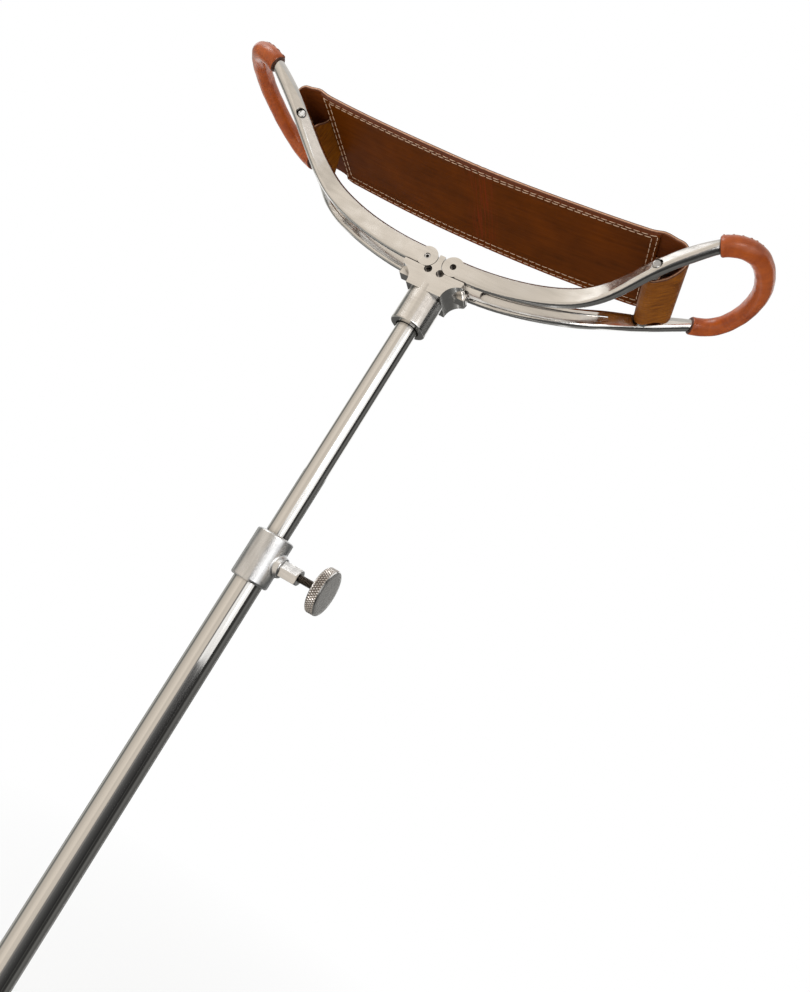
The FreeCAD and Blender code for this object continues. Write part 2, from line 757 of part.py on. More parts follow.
def clamp_nut():
    # Hexagon bush pressed into the boss and threaded for the clamp screw
    head = hexagon_prism(nut_across_flats, Vector(boss_reach, 0, screw_z), nut_reach - boss_reach, X_AXIS)
    corner_radius = nut_across_flats / math.sqrt(3)
    cone = Part.makeCone(corner_radius + nut_chamfer, corner_radius - nut_chamfer,
                         2 * nut_chamfer, Vector(nut_reach - 2 * nut_chamfer, 0, screw_z), X_AXIS)
    shaft = cylinder(2 * (corner_radius + nut_chamfer), Vector(boss_reach, 0, screw_z),
                     nut_reach - boss_reach - 2 * nut_chamfer, X_AXIS)
    head = head.common(fuse([cone, shaft]))
    spigot_start = upper_tube_diameter / 2 + slide_clearance + nut_tip_setback
    spigot = cylinder(nut_spigot_diameter, Vector(spigot_start, 0, screw_z),
                      boss_reach - spigot_start, X_AXIS)
    nut = fuse([head, spigot])
    bore = screw_diameter + 2 * screw_clearance
    return nut.cut(cylinder(bore, Vector(0, 0, screw_z), nut_reach, X_AXIS))


def pad_start():
    return upper_tube_diameter / 2 + pad_gap


def pressure_pad():
    # Brass slug that the screw pushes against the upper tube
    return cylinder(pad_diameter, Vector(pad_start(), 0, screw_z), pad_length, X_AXIS)


def clamp_screw():
    start = pad_start() + pad_length + screw_to_pad_gap
    length = wheel_face_reach - wheel_thickness + screw_in_wheel - start
    return cylinder(screw_diameter, Vector(start, 0, screw_z), length, X_AXIS)


def thumb_wheel():
    start = Vector(wheel_face_reach - wheel_thickness, 0, screw_z)
    wheel = cylinder(wheel_diameter, start, wheel_thickness, X_AXIS)
    rims = edges_near(wheel, lambda box: box.XLength < 0.01)
    wheel = wheel.makeFillet(wheel_edge_round, rims)
    socket = cylinder(screw_diameter + 2 * seat_clearance, start, screw_in_wheel + seat_clearance, X_AXIS)
    return wheel.cut(socket)


def foot_plug():
    insert_diameter = lower_tube_bore - 2 * seat_clearance
    collar_width = lower_tube_diameter + 2 * plug_collar_lip
    collar = cylinder(collar_width, Vector(0, 0, plug_bottom_z), plug_collar_length)
    low_edges = edges_near(collar, lambda box: box.ZMax < plug_bottom_z + 0.01)
    collar = collar.makeFillet(plug_collar_round, low_edges)
    insert = cylinder(insert_diameter, Vector(0, 0, lower_tube_bottom_z), plug_insert_length)
    plug = fuse([collar, insert])
    tang = cylinder(spike_tang_diameter + 2 * seat_clearance, Vector(0, 0, plug_bottom_z),
                    spike_tang_length - disc_thickness + seat_clearance)
    return plug.cut(tang).cut(plug_pin_hole())


def plug_pin_z():
    return lower_tube_bottom_z + plug_insert_length - plug_pin_below_top


def plug_pin_hole():
    start = Vector(0, -lower_tube_diameter / 2, plug_pin_z())
    return cylinder(plug_pin_diameter + 2 * seat_clearance, start, lower_tube_diameter, Y_AXIS)


def plug_pin():
    half = lower_tube_diameter / 2
    start = Vector(0, -half, plug_pin_z())
    return cylinder(plug_pin_diameter, start, 2 * half, Y_AXIS)


def ground_spike():
    # Hardened spike with a shoulder under the disc and a tang in the plug
    tip_z = ferrule_floor + washer_thickness + spike_tip_gap
    body_radius = spike_diameter / 2
    outline = [
        Vector(0, 0, tip_z),
        Vector(spike_tip_diameter / 2, 0, tip_z),
        Vector(body_radius, 0, tip_z + spike_point_length),
        Vector(body_radius, 0, disc_z),
        Vector(spike_tang_diameter / 2, 0, disc_z),
        Vector(spike_tang_diameter / 2, 0, disc_z + spike_tang_length),
        Vector(0, 0, disc_z + spike_tang_length),
        Vector(0, 0, tip_z),
    ]
    face = Part.Face(Part.makePolygon(outline))
    return face.revolve(Vector(0, 0, 0), Z_AXIS, 360)


def mud_disc():
    # Dished disc that stops the spike sinking, clamped between spike and plug
    hub_radius = disc_hub_diameter / 2
    rim_radius = disc_diameter / 2
    bore_radius = spike_tang_diameter / 2 + seat_clearance
    top = disc_z + disc_thickness
    outline = [
        Vector(bore_radius, 0, disc_z),
        Vector(hub_radius, 0, disc_z),
        Vector(rim_radius, 0, disc_z - disc_rim_drop),
        Vector(rim_radius, 0, disc_z - disc_rim_drop + disc_rim_thickness),
        Vector(hub_radius, 0, top),
        Vector(bore_radius, 0, top),
        Vector(bore_radius, 0, disc_z),
    ]
    face = Part.Face(Part.makePolygon(outline))
    disc = face.revolve(Vector(0, 0, 0), Z_AXIS, 360)
    rims = edges_near(disc, lambda box: box.ZLength < 0.01 and box.XLength > disc_diameter - 0.1)
    return disc.makeFillet(disc_edge_round, rims)


def rubber_ferrule():
    body = Part.makeCone(ferrule_base_diameter / 2 - ferrule_foot_step, ferrule_top_diameter / 2,
                         ferrule_length - ferrule_foot_height, Vector(0, 0, ferrule_foot_height))
    foot = cylinder(ferrule_base_diameter, Vector(0, 0, 0), ferrule_foot_height)
    foot_edges = edges_near(foot, lambda box: box.ZLength < 0.01)
    body = fuse([body, foot.makeFillet(ferrule_foot_round, foot_edges)])
    top = edges_near(body, lambda box: box.ZMin > ferrule_length - 0.01)
    body = body.makeFillet(ferrule_top_round, top)
    bore = spike_diameter + 2 * spike_fit
    body = body.cut(cylinder(bore, Vector(0, 0, ferrule_floor), ferrule_length))
    pocket = cylinder(washer_diameter + 2 * seat_clearance, Vector(0, 0, ferrule_floor),
                      washer_thickness + seat_clearance)
    body = body.cut(pocket)
    for groove in ferrule_tread_bores:
        tread = ring(groove + 2 * ferrule_tread_width, groove, Vector(0, 0, 0), ferrule_tread_depth)
        body = body.cut(tread)
    return body


def ferrule_washer():
    start = Vector(0, 0, ferrule_floor)
    return cylinder(washer_diameter, start, washer_thickness)


os.makedirs("parts", exist_ok=True)

save("upper_tube", upper_tube().cut(bush_pin_hole()))
save("guide_bush", guide_bush())
save("bush_pin", bush_pin())
save("head_casting", head_casting())
save("head_grub_screw", head_grub_screw())
save("left_fold_pin", fold_pin(-1, left_pin_recess))
save("right_fold_pin", fold_pin(1, right_pin_recess))
save("seat_leather", seat_leather())
save("seat_lining", seat_lining())

frame = frame_half()
rod = cross_rod()
sleeve = handle_leather()
save("right_frame", frame)
save("left_frame", mirror_x(frame))
save("right_cross_rod", rod)
save("left_cross_rod", mirror_x(rod))
save("right_handle_leather", sleeve)
save("left_handle_leather", mirror_x(sleeve))

save("lower_tube", lower_tube().cut(plug_pin_hole()).cut(collar_pin_hole()))
save("clamp_collar", clamp_collar())
save("collar_pin", collar_pin())
save("clamp_nut", clamp_nut())
save("pressure_pad", pressure_pad())
save("clamp_screw", clamp_screw())
save("thumb_wheel", thumb_wheel())
save("foot_plug", foot_plug())
save("plug_pin", plug_pin())
save("ground_spike", ground_spike())
save("mud_disc", mud_disc())
save("rubber_ferrule", rubber_ferrule())
save("ferrule_washer", ferrule_washer())
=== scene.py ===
import json
import math
import random

import bpy
from mathutils import Matrix, Vector


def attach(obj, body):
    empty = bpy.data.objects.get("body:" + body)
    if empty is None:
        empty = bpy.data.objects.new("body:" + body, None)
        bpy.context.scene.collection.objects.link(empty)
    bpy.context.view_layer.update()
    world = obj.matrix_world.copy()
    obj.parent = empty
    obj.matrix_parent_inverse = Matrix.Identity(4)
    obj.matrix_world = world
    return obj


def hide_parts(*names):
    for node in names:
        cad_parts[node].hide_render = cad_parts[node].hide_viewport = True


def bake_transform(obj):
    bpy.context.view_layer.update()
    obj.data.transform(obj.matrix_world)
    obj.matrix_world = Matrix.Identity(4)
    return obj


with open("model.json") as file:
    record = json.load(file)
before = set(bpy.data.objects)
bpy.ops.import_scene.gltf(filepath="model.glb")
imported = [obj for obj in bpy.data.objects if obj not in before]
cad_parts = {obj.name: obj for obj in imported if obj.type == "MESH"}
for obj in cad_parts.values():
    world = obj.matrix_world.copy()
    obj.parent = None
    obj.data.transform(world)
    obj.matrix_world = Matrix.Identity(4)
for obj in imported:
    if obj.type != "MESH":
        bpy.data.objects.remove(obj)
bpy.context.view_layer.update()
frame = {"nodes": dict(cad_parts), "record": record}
scene = bpy.context.scene
nodes = frame["nodes"]
mm = 0.001
sides = {"left": -1, "right": 1}
pivotHeight = 760.0
print("frame loaded")

# the camera looks up at the seat from the front, below the right handle
cameraSettings = {
    "place": (0.220054, -0.515127, 0.485429),
    "right": (0.87061926, 0.07189814, 0.48667522),
    "forward": (-0.18944256, 0.9619713, 0.19678092),
    "lens": 27.32,
    "shiftX": -0.0644,
    "shiftY": 0.0287,
}


def makeCamera(settings):
    data = bpy.data.cameras.new("photoCamera")
    camera = bpy.data.objects.new("photoCamera", data)
    scene.collection.objects.link(camera)
    data.lens = settings["lens"]
    data.shift_x = settings["shiftX"]
    data.shift_y = settings["shiftY"]
    data.clip_start = 0.01
    data.clip_end = 50
    right = Vector(settings["right"]).normalized()
    back = -Vector(settings["forward"]).normalized()
    up = back.cross(right).normalized()
    turn = Matrix((right, up, back)).transposed().to_4x4()
    camera.matrix_world = Matrix.Translation(settings["place"]) @ turn
    scene.camera = camera


makeCamera(cameraSettings)

# materials


def newMaterial(name):
    material = bpy.data.materials.new(name)
    material.use_nodes = True
    tree = material.node_tree
    return material, tree, tree.nodes["Principled BSDF"]


def addNode(tree, kind, inputs=None, **settings):
    node = tree.nodes.new(kind)
    for key, value in settings.items():
        setattr(node, key, value)
    for key, value in (inputs or {}).items():
        node.inputs[key].default_value = value
    return node


def join(tree, source, output, target, socket):
    tree.links.new(source.outputs[output], target.inputs[socket])


def place(tree, stretch, attribute=None):
    # coordinates on the piece, in metres, stretched per axis
    if attribute:
        source = addNode(tree, "ShaderNodeAttribute", attribute_name=attribute)
        output = "Vector"
    else:
        source = addNode(tree, "ShaderNodeTexCoord")
        output = "Object"
    mapping = addNode(tree, "ShaderNodeMapping", {"Scale": stretch})
    join(tree, source, output, mapping, "Vector")
    return mapping


def noise(tree, stretch, scale, attribute=None, detail=4.0, roughness=0.5, distortion=0.0):
    mapping = place(tree, stretch, attribute)
    inputs = {"Scale": scale, "Detail": detail, "Roughness": roughness, "Distortion": distortion}
    node = addNode(tree, "ShaderNodeTexNoise", inputs)
    join(tree, mapping, "Vector", node, "Vector")
    return node


def spread(tree, source, output, low, high, fromLow=0.3, fromHigh=0.7):
    inputs = {"From Min": fromLow, "From Max": fromHigh, "To Min": low, "To Max": high}
    node = addNode(tree, "ShaderNodeMapRange", inputs)
    join(tree, source, output, node, "Value")
    return node


def blendColors(tree, factor, output, first, second):
    node = addNode(tree, "ShaderNodeMix", data_type="RGBA")
    join(tree, factor, output, node, 0)
    for socket, color in ((6, first), (7, second)):
        if isinstance(color, bpy.types.Node):
            join(tree, color, 2, node, socket)
        else:
            node.inputs[socket].default_value = (*color, 1)
    return node


def addBump(tree, shader, source, output, strength, distance, previous=None):
    node = addNode(tree, "ShaderNodeBump", {"Strength": strength, "Distance": distance})
    join(tree, source, output, node, "Height")
    if previous:
        join(tree, previous, "Normal", node, "Normal")
    join(tree, node, "Normal", shader, "Normal")
    return node


def setRoughness(tree, shader, source, low, high):
    join(tree, spread(tree, source, "Fac", low, high), "Result", shader, "Roughness")


def combine(tree, operation, first, firstOutput, second, secondOutput):
    node = addNode(tree, "ShaderNodeMath", operation=operation)
    join(tree, first, firstOutput, node, 0)
    join(tree, second, secondOutput, node, 1)
    return node


def axisShare(tree, attribute, axis, start, end, low=0.0, high=1.0):
    # 0 to 1 as the distance from the middle line goes from start to end, in metres
    source = addNode(tree, "ShaderNodeAttribute", attribute_name=attribute)
    parts = addNode(tree, "ShaderNodeSeparateXYZ")
    join(tree, source, "Vector", parts, 0)
    size = addNode(tree, "ShaderNodeMath", operation="ABSOLUTE")
    join(tree, parts, axis, size, 0)
    return spread(tree, size, 0, low, high, start, end)


metalFinishes = {
    "castAlloy": {
        "color": (0.86, 0.84, 0.81), "shade": (0.77, 0.75, 0.72), "roughness": (0.09, 0.18),
        "scale": 90, "bump": 0.10, "scratch": (30, 300, 300),
    },
    "tubeAlloy": {
        "color": (0.86, 0.84, 0.81), "shade": (0.80, 0.78, 0.75), "roughness": (0.05, 0.13),
        "stretch": (1, 1, 0.02), "scale": 500, "bump": 0.03, "scratch": (700, 700, 6),
    },
    "collarAlloy": {
        "color": (0.80, 0.80, 0.80), "shade": (0.66, 0.66, 0.66), "roughness": (0.22, 0.36),
        "scale": 110, "bump": 0.05, "scratch": (250, 250, 50),
    },
    "brightNut": {
        "color": (0.84, 0.83, 0.82), "shade": (0.70, 0.70, 0.70), "roughness": (0.14, 0.28),
        "scale": 200, "bump": 0.06, "scratch": (60, 400, 400),
    },
    "knurledAlloy": {
        "color": (0.86, 0.83, 0.80), "shade": (0.76, 0.74, 0.71), "roughness": (0.16, 0.26),
        "scale": 240, "bump": 0.03, "scratch": (30, 300, 300),
        # painted shade: the groove depths in metres over which the knurl darkens to this colour
        "groove": (0.0003, 0.0006, (0.20, 0.16, 0.14)),
    },
    "screwSteel": {
        "color": (0.27, 0.23, 0.195), "shade": (0.18, 0.155, 0.13), "roughness": (0.20, 0.32),
        "scale": 500, "bump": 0.05, "scratch": (200, 700, 700),
        # painted shade: the thread depths in metres over which its roots darken to this colour
        "groove": (0.00012, 0.0003, (0.010, 0.008, 0.007)),
    },
    "steelPin": {
        "color": (0.62, 0.62, 0.62), "shade": (0.48, 0.48, 0.48), "roughness": (0.18, 0.32),
        "scale": 400, "bump": 0.08, "scratch": (600, 60, 600),
    },
    "blackSteel": {
        "color": (0.15, 0.13, 0.11), "shade": (0.07, 0.06, 0.05), "roughness": (0.24, 0.38),
        "scale": 500, "bump": 0.10, "scratch": (200, 700, 700),
    },
    "brassPad": {
        "color": (0.75, 0.58, 0.30), "shade": (0.58, 0.42, 0.20), "roughness": (0.22, 0.36),
        "scale": 400, "bump": 0.08, "scratch": (60, 600, 600),
    },
    "spikeSteel": {
        "color": (0.52, 0.52, 0.52), "shade": (0.36, 0.36, 0.36), "roughness": (0.24, 0.42),
        "stretch": (1, 1, 0.3), "scale": 300, "bump": 0.12, "scratch": (60, 60, 900),
    },
}
# the noise values over which scratches show, the depths of clouds and scratches in metres, and the
# scratches' share of the bump's strength
metalPattern = {
    "scratchRange": (0.25, 0.6), "cloudDepth": 0.0004, "scratchDepth": 0.0001, "scratchShare": 0.7,
}
# painted shade in narrow gaps: the occlusion's reach in metres, the dark colour, its samples, and
# the occlusion range over which it fades
gapShadeSettings = {"reach": 0.008, "color": (0.17, 0.158, 0.148), "samples": 8, "range": (0.16, 0.86)}


def metalMaterial(name, settings, pattern=metalPattern, gapShade=gapShadeSettings):
    material, tree, shader = newMaterial(name)
    shader.inputs["Metallic"].default_value = 1.0
    stretch = settings.get("stretch", (1, 1, 1))
    clouds = noise(tree, stretch, settings["scale"], detail=2.0, roughness=0.45)
    scratches = noise(tree, settings["scratch"], 1.0, detail=2.0, roughness=0.5)
    setRoughness(tree, shader, clouds, *settings["roughness"])
    shown = spread(tree, scratches, "Fac", 0.0, 1.0, *pattern["scratchRange"])
    tint = blendColors(tree, shown, "Result", settings["shade"], settings["color"])
    # painted shade: ambient occlusion darkens the colour in the narrow gaps
    clear = addNode(tree, "ShaderNodeAmbientOcclusion", {"Distance": gapShade["reach"]},
                    samples=gapShade["samples"])
    share = spread(tree, clear, "AO", 0.0, 1.0, *gapShade["range"])
    tint = blendColors(tree, share, "Result", gapShade["color"], tint)
    # painted shade: the colour darkens with the groove's depth, read from cutPlace
    if "groove" in settings:
        start, end, color = settings["groove"]
        depth = axisShare(tree, "cutPlace", "Z", start, end)
        tint = blendColors(tree, depth, "Result", tint, color)
    join(tree, tint, 2, shader, "Base Color")
    first = addBump(tree, shader, clouds, "Fac", settings["bump"], pattern["cloudDepth"])
    addBump(tree, shader, scratches, "Fac", settings["bump"] * pattern["scratchShare"],
            pattern["scratchDepth"], first)
    return material


leatherFinishes = {
    "slingTan": {
        "color": (0.37, 0.118, 0.007), "dark": (0.13, 0.034, 0.003), "grain": 1500,
        "grainBump": 0.25, "lines": (80, 760, 1), "lineBump": 1.0, "roughness": (0.42, 0.58),
        # the narrow line range gives the loops strong painted shade in their wrinkle lines
        "specular": 0.10, "lineRange": (0.40, 0.60),
    },
    "slingFlesh": {
        "color": (0.19, 0.044, 0.006), "dark": (0.10, 0.021, 0.003), "grain": 1900,
        "grainBump": 0.30, "lines": (50, 320, 1), "lineBump": 0.30, "roughness": (0.46, 0.62),
        "specular": 0.10,
    },
    "liningChestnut": {
        "color": (0.155, 0.034, 0.0012), "dark": (0.070, 0.0165, 0.0007), "grain": 1700,
        "grainBump": 0.12, "lines": (25, 340, 1), "lineBump": 0.14, "roughness": (0.30, 0.42),
        "specular": 0.04, "band": (0.0441, 0.0446, (0.17, 0.036, 0.004)),
        "crease": (0.004, 0.016, (0.17, 0.026, 0.003)),
    },
    "handleTan": {
        "color": (0.56, 0.118, 0.012), "dark": (0.27, 0.042, 0.008), "grain": 1500,
        "grainBump": 0.10, "lines": (120, 50, 1), "lineBump": 0.08, "roughness": (0.24, 0.36),
        "coat": 0.7, "coatRoughness": 0.26, "specular": 0.15,
    },
}
# dye clouds per metre, crease veins per metre, and the depth of grain and lines in metres
leatherPattern = {
    "clouds": 28, "veins": (620, 26, 1), "veinRange": (0.48, 0.62), "grainDepth": 0.0003,
    "lineDepth": 0.0006,
}


def leatherMaterial(name, settings, attribute, pattern=leatherPattern):
    material, tree, shader = newMaterial(name)
    shader.inputs["Coat Weight"].default_value = settings.get("coat", 0.0)
    shader.inputs["Coat Roughness"].default_value = settings.get("coatRoughness", 0.2)
    shader.inputs["Specular IOR Level"].default_value = settings["specular"]
    clouds = noise(tree, (1, 1, 1), pattern["clouds"], attribute, detail=6.0, roughness=0.6)
    lines = noise(tree, settings["lines"], 1.0, attribute, detail=5.0, roughness=0.6,
                  distortion=0.4)
    mapping = place(tree, (1, 1, 1), attribute)
    grain = addNode(tree, "ShaderNodeTexVoronoi", {"Scale": settings["grain"]}, feature="F1")
    join(tree, mapping, "Vector", grain, "Vector")
    share = addNode(tree, "ShaderNodeMath", {1: 0.5}, operation="MULTIPLY_ADD")
    # painted shade: the colour darkens in the troughs of the lines whose bump makes the creases
    lineShare = spread(tree, lines, "Fac", 0.0, 1.0, *settings.get("lineRange", (0.3, 0.7)))
    join(tree, lineShare, "Result", share, 0)
    join(tree, spread(tree, clouds, "Fac", 0.0, 0.5), "Result", share, 2)
    tint = blendColors(tree, share, 0, settings["dark"], settings["color"])
    if "band" in settings:
        start, end, color = settings["band"]
        outer = axisShare(tree, attribute, "Y", start, end)
        tint = blendColors(tree, outer, "Result", tint, color)
    if "crease" in settings:
        start, end, color = settings["crease"]
        middle = axisShare(tree, attribute, "X", start, end, low=1.0, high=0.0)
        veins = noise(tree, pattern["veins"], 1.0, attribute, detail=3.0, roughness=0.5,
                      distortion=0.3)
        vein = spread(tree, veins, "Fac", 0.0, 1.0, *pattern["veinRange"])
        amount = combine(tree, "MULTIPLY", vein, "Result", middle, "Result")
        tint = blendColors(tree, amount, 0, tint, color)
    join(tree, tint, 2, shader, "Base Color")
    setRoughness(tree, shader, clouds, *reversed(settings["roughness"]))
    first = addBump(tree, shader, grain, "Distance", settings["grainBump"], pattern["grainDepth"])
    addBump(tree, shader, lines, "Fac", settings["lineBump"], pattern["lineDepth"], first)
    return material


# the fades are where the stain ends above and below the edge's middle, in metres
edgeSettings = {
    "pale": (0.74, 0.40, 0.23), "upper": (0.13, 0.036, 0.007), "lower": (0.16, 0.038, 0.006),
    "upperFade": (0.0003, 0.0006), "lowerFade": (-0.0006, -0.0002), "fibres": 900,
    "specks": (0.0, 0.4), "roughness": (0.6, 0.8), "bump": 0.4,
}
# depth of the bumps on the edge and the plain finishes, in metres
plainDepth = 0.0003


def edgeMaterial(name, settings):
    # cut leather: a pale line of fibres between the two stained faces
    material, tree, shader = newMaterial(name)
    fibres = noise(tree, (1, 1, 1), settings["fibres"], "cutPlace", detail=5.0, roughness=0.6)
    source = addNode(tree, "ShaderNodeAttribute", attribute_name="cutPlace")
    parts = addNode(tree, "ShaderNodeSeparateXYZ")
    join(tree, source, "Vector", parts, 0)
    above = spread(tree, parts, "Z", 0.0, 1.0, *settings["upperFade"])
    tint = blendColors(tree, above, "Result", settings["pale"], settings["upper"])
    below = spread(tree, parts, "Z", 1.0, 0.0, *settings["lowerFade"])
    tint = blendColors(tree, below, "Result", tint, settings["lower"])
    specks = spread(tree, fibres, "Fac", *settings["specks"])
    speckled = blendColors(tree, specks, "Result", tint, settings["upper"])
    join(tree, speckled, 2, shader, "Base Color")
    setRoughness(tree, shader, fibres, *settings["roughness"])
    addBump(tree, shader, fibres, "Fac", settings["bump"], plainDepth)
    return material


plainFinishes = {
    "liningEdge": {
        "color": (0.14, 0.032, 0.006), "shade": (0.085, 0.019, 0.004), "roughness": (0.5, 0.7),
        "scale": 900, "bump": 0.3, "specular": 0.1,
    },
    "burnishedEdge": {
        "color": (0.13, 0.035, 0.012), "shade": (0.06, 0.018, 0.008), "roughness": (0.5, 0.7),
        "scale": 900, "bump": 0.3,
    },
    "creamThread": {
        "color": (0.94, 0.70, 0.50), "shade": (0.72, 0.46, 0.29), "roughness": (0.6, 0.8),
        "scale": 2500, "bump": 0.5,
    },
    "rustThread": {
        "color": (0.42, 0.13, 0.05), "shade": (0.25, 0.07, 0.03), "roughness": (0.55, 0.75),
        "scale": 2500, "bump": 0.5,
    },
    "footRubber": {
        "color": (0.045, 0.045, 0.045), "shade": (0.028, 0.028, 0.028), "roughness": (0.55, 0.75),
        "scale": 700, "bump": 0.3,
    },
    "bushNylon": {
        "color": (0.82, 0.80, 0.75), "shade": (0.76, 0.74, 0.69), "roughness": (0.35, 0.5),
        "scale": 500, "bump": 0.15,
    },
}


def plainMaterial(name, settings):
    material, tree, shader = newMaterial(name)
    shader.inputs["Specular IOR Level"].default_value = settings.get("specular", 0.5)
    clouds = noise(tree, (1, 1, 1), settings["scale"], detail=5.0, roughness=0.6)
    share = spread(tree, clouds, "Fac", 0.0, 1.0)
    tint = blendColors(tree, share, "Result", settings["shade"], settings["color"])
    join(tree, tint, 2, shader, "Base Color")
    setRoughness(tree, shader, clouds, *settings["roughness"])
    addBump(tree, shader, clouds, "Fac", settings["bump"], plainDepth)
    return material


finishes = {name: metalMaterial(name, settings) for name, settings in metalFinishes.items()}
for name, settings in leatherFinishes.items():
    finishes[name] = leatherMaterial(name, settings, "cutPlace")
finishes["rawEdge"] = edgeMaterial("rawEdge", edgeSettings)
for name, settings in plainFinishes.items():
    finishes[name] = plainMaterial(name, settings)

nodeFinishes = {
    "steel_tube": "tubeAlloy", "nylon": "bushNylon", "steel_pin": "steelPin",
    "cast_alloy": "castAlloy", "black_steel": "blackSteel", "collar_alloy": "collarAlloy",
    "bright_nut": "brightNut", "brass_pad": "brassPad", "spike_steel": "spikeSteel",
    "ferrule_rubber": "footRubber",
}
# painted shade: the right fold pin sits deep, and black steel stands in for the shade in its hole
paintedShadeFinishes = {"right_fold_pin": "blackSteel"}
for part in frame["record"]["subparts"]:
    finish = paintedShadeFinishes.get(part["node"]) or nodeFinishes.get(part["material_slot"])
    if finish:
        node = nodes[part["node"]]
        node.data.materials.clear()
        node.data.materials.append(finishes[finish])
print("materials made")

# mesh helpers


def makePiece(name, points, faces, materials, faceMaterials=None, cutPlaces=None, sharp=40):
    mesh = bpy.data.meshes.new(name)
    mesh.from_pydata([Vector(p) * mm for p in points], [], faces)
    for material in materials:
        mesh.materials.append(finishes[material])
    if faceMaterials:
        mesh.polygons.foreach_set("material_index", faceMaterials)
    if cutPlaces:
        attribute = mesh.attributes.new("cutPlace", "FLOAT_VECTOR", "POINT")
        attribute.data.foreach_set("vector", [value * mm for cut in cutPlaces for value in cut])
    mesh.polygons.foreach_set("use_smooth", [True] * len(mesh.polygons))
    mesh.set_sharp_from_angle(angle=math.radians(sharp))
    mesh.validate()
    mesh.update()
    piece = bpy.data.objects.new(name, mesh)
    scene.collection.objects.link(piece)
    return piece


def angles(count):
    return [2 * math.pi * i / count for i in range(count)]


def ringFaces(rings, around, closedRings=False, flip=False):
    # quads between successive rings of points
    faces = []
    count = rings if closedRings else rings - 1
    for row in range(count):
        nextRow = (row + 1) % rings
        for column in range(around):
            nextColumn = (column + 1) % around
            face = (row * around + column, row * around + nextColumn,
                    nextRow * around + nextColumn, nextRow * around + column)
            faces.append(face[::-1] if flip else face)
    return faces


# the sling: top leather with its end loop, and the lining below it
slingSettings = {
    "halfLength": 146.0, "halfWidth": 47.0, "endHeight": 71.5, "sag": 7.0,
    "liningThickness": 1.8, "topThickness": 2.6, "layerGap": 0.05,
    "rod": (151.5, 51.5), "shoulder": (159.8, 64.5), "shoulderRadius": 10.0, "rodRadius": 5.6,
    "liningEnd": 144.3, "edgeRound": 0.55, "bevelShare": 0.3, "across": 34, "step": 2.2,
    "droopStart": 36.0, "droop": 2.4, "droopFade": (136.0, 152.0),
    # how far below the lining's top the loop's tail ends, and the steps to the shoulder, round it,
    # down to the rod, round the rod and back up
    "tailDrop": 0.3, "pathSteps": (4, 14, 6, 12, 6),
    # half widths at distances from the middle; the last two are measured back from the strap's end
    "taper": ((0.0, 47.0), (143.0, 47.0), (160.0, 44.0), (178.0, 37.0), (192.0, 29.5)),
    "tail": ((20, 29.0), (0, 19.0)),
}
# width, height and pitch of the creases across the middle, and of the soft unevenness
waveSettings = {"creaseWidth": 9.0, "crease": 0.16, "creasePitch": 1.9, "creaseWander": (0.5, 0.07),
                "soft": 0.28, "softAlong": (0.045, 0.8), "softAcross": (0.05, 0.4)}


def slingHeight(x, settings=slingSettings):
    middle = settings["endHeight"] - settings["sag"]
    return middle + settings["sag"] * (x / settings["halfLength"]) ** 2


def slingSlope(x, settings=slingSettings):
    return 2 * settings["sag"] * x / settings["halfLength"] ** 2


def smooth(share):
    return share * share * (3 - 2 * share)


def slingWave(x, y, settings=slingSettings, wave=waveSettings):
    # fold creases across the middle, a soft unevenness, and long edges that hang a little
    size = abs(x)
    fade = max(0.0, 1 - size / settings["liningEnd"]) ** 0.5
    wander, wanderPitch = wave["creaseWander"]
    crease = wave["crease"] * math.exp(-(x / wave["creaseWidth"]) ** 2) * math.sin(
        x * wave["creasePitch"] + wander * math.sin(y * wanderPitch))
    along, alongShift = wave["softAlong"]
    across, acrossShift = wave["softAcross"]
    soft = wave["soft"] * math.sin(x * along + alongShift) * math.sin(y * across + acrossShift)
    near, far = settings["droopFade"]
    hang = min(1.0, max(0.0, (far - size) / (far - near)))
    droopStart = settings["droopStart"]
    beyond = max(0.0, abs(y) - droopStart) / (settings["halfWidth"] - droopStart)
    return fade * (crease + soft) - settings["droop"] * beyond ** 2 * smooth(hang)


def strapSection(halfWidth, thickness, settings):
    # points round the strap's section: across, normal, and whether the point is on the cut edge
    half = thickness / 2
    radius = settings["edgeRound"]
    bevel = radius * settings["bevelShare"]
    inner = halfWidth - radius
    count = settings["across"]
    top = [(-inner + 2 * inner * i / count, half, False) for i in range(count + 1)]
    right = [(halfWidth - bevel, half - bevel, True), (halfWidth, half - radius, True),
             (halfWidth, radius - half, True), (halfWidth - bevel, bevel - half, True)]
    under = [(inner - 2 * inner * i / count, -half, False) for i in range(count + 1)]
    left = [(-across, -normal, edge) for across, normal, edge in right]
    return top + right + under + left


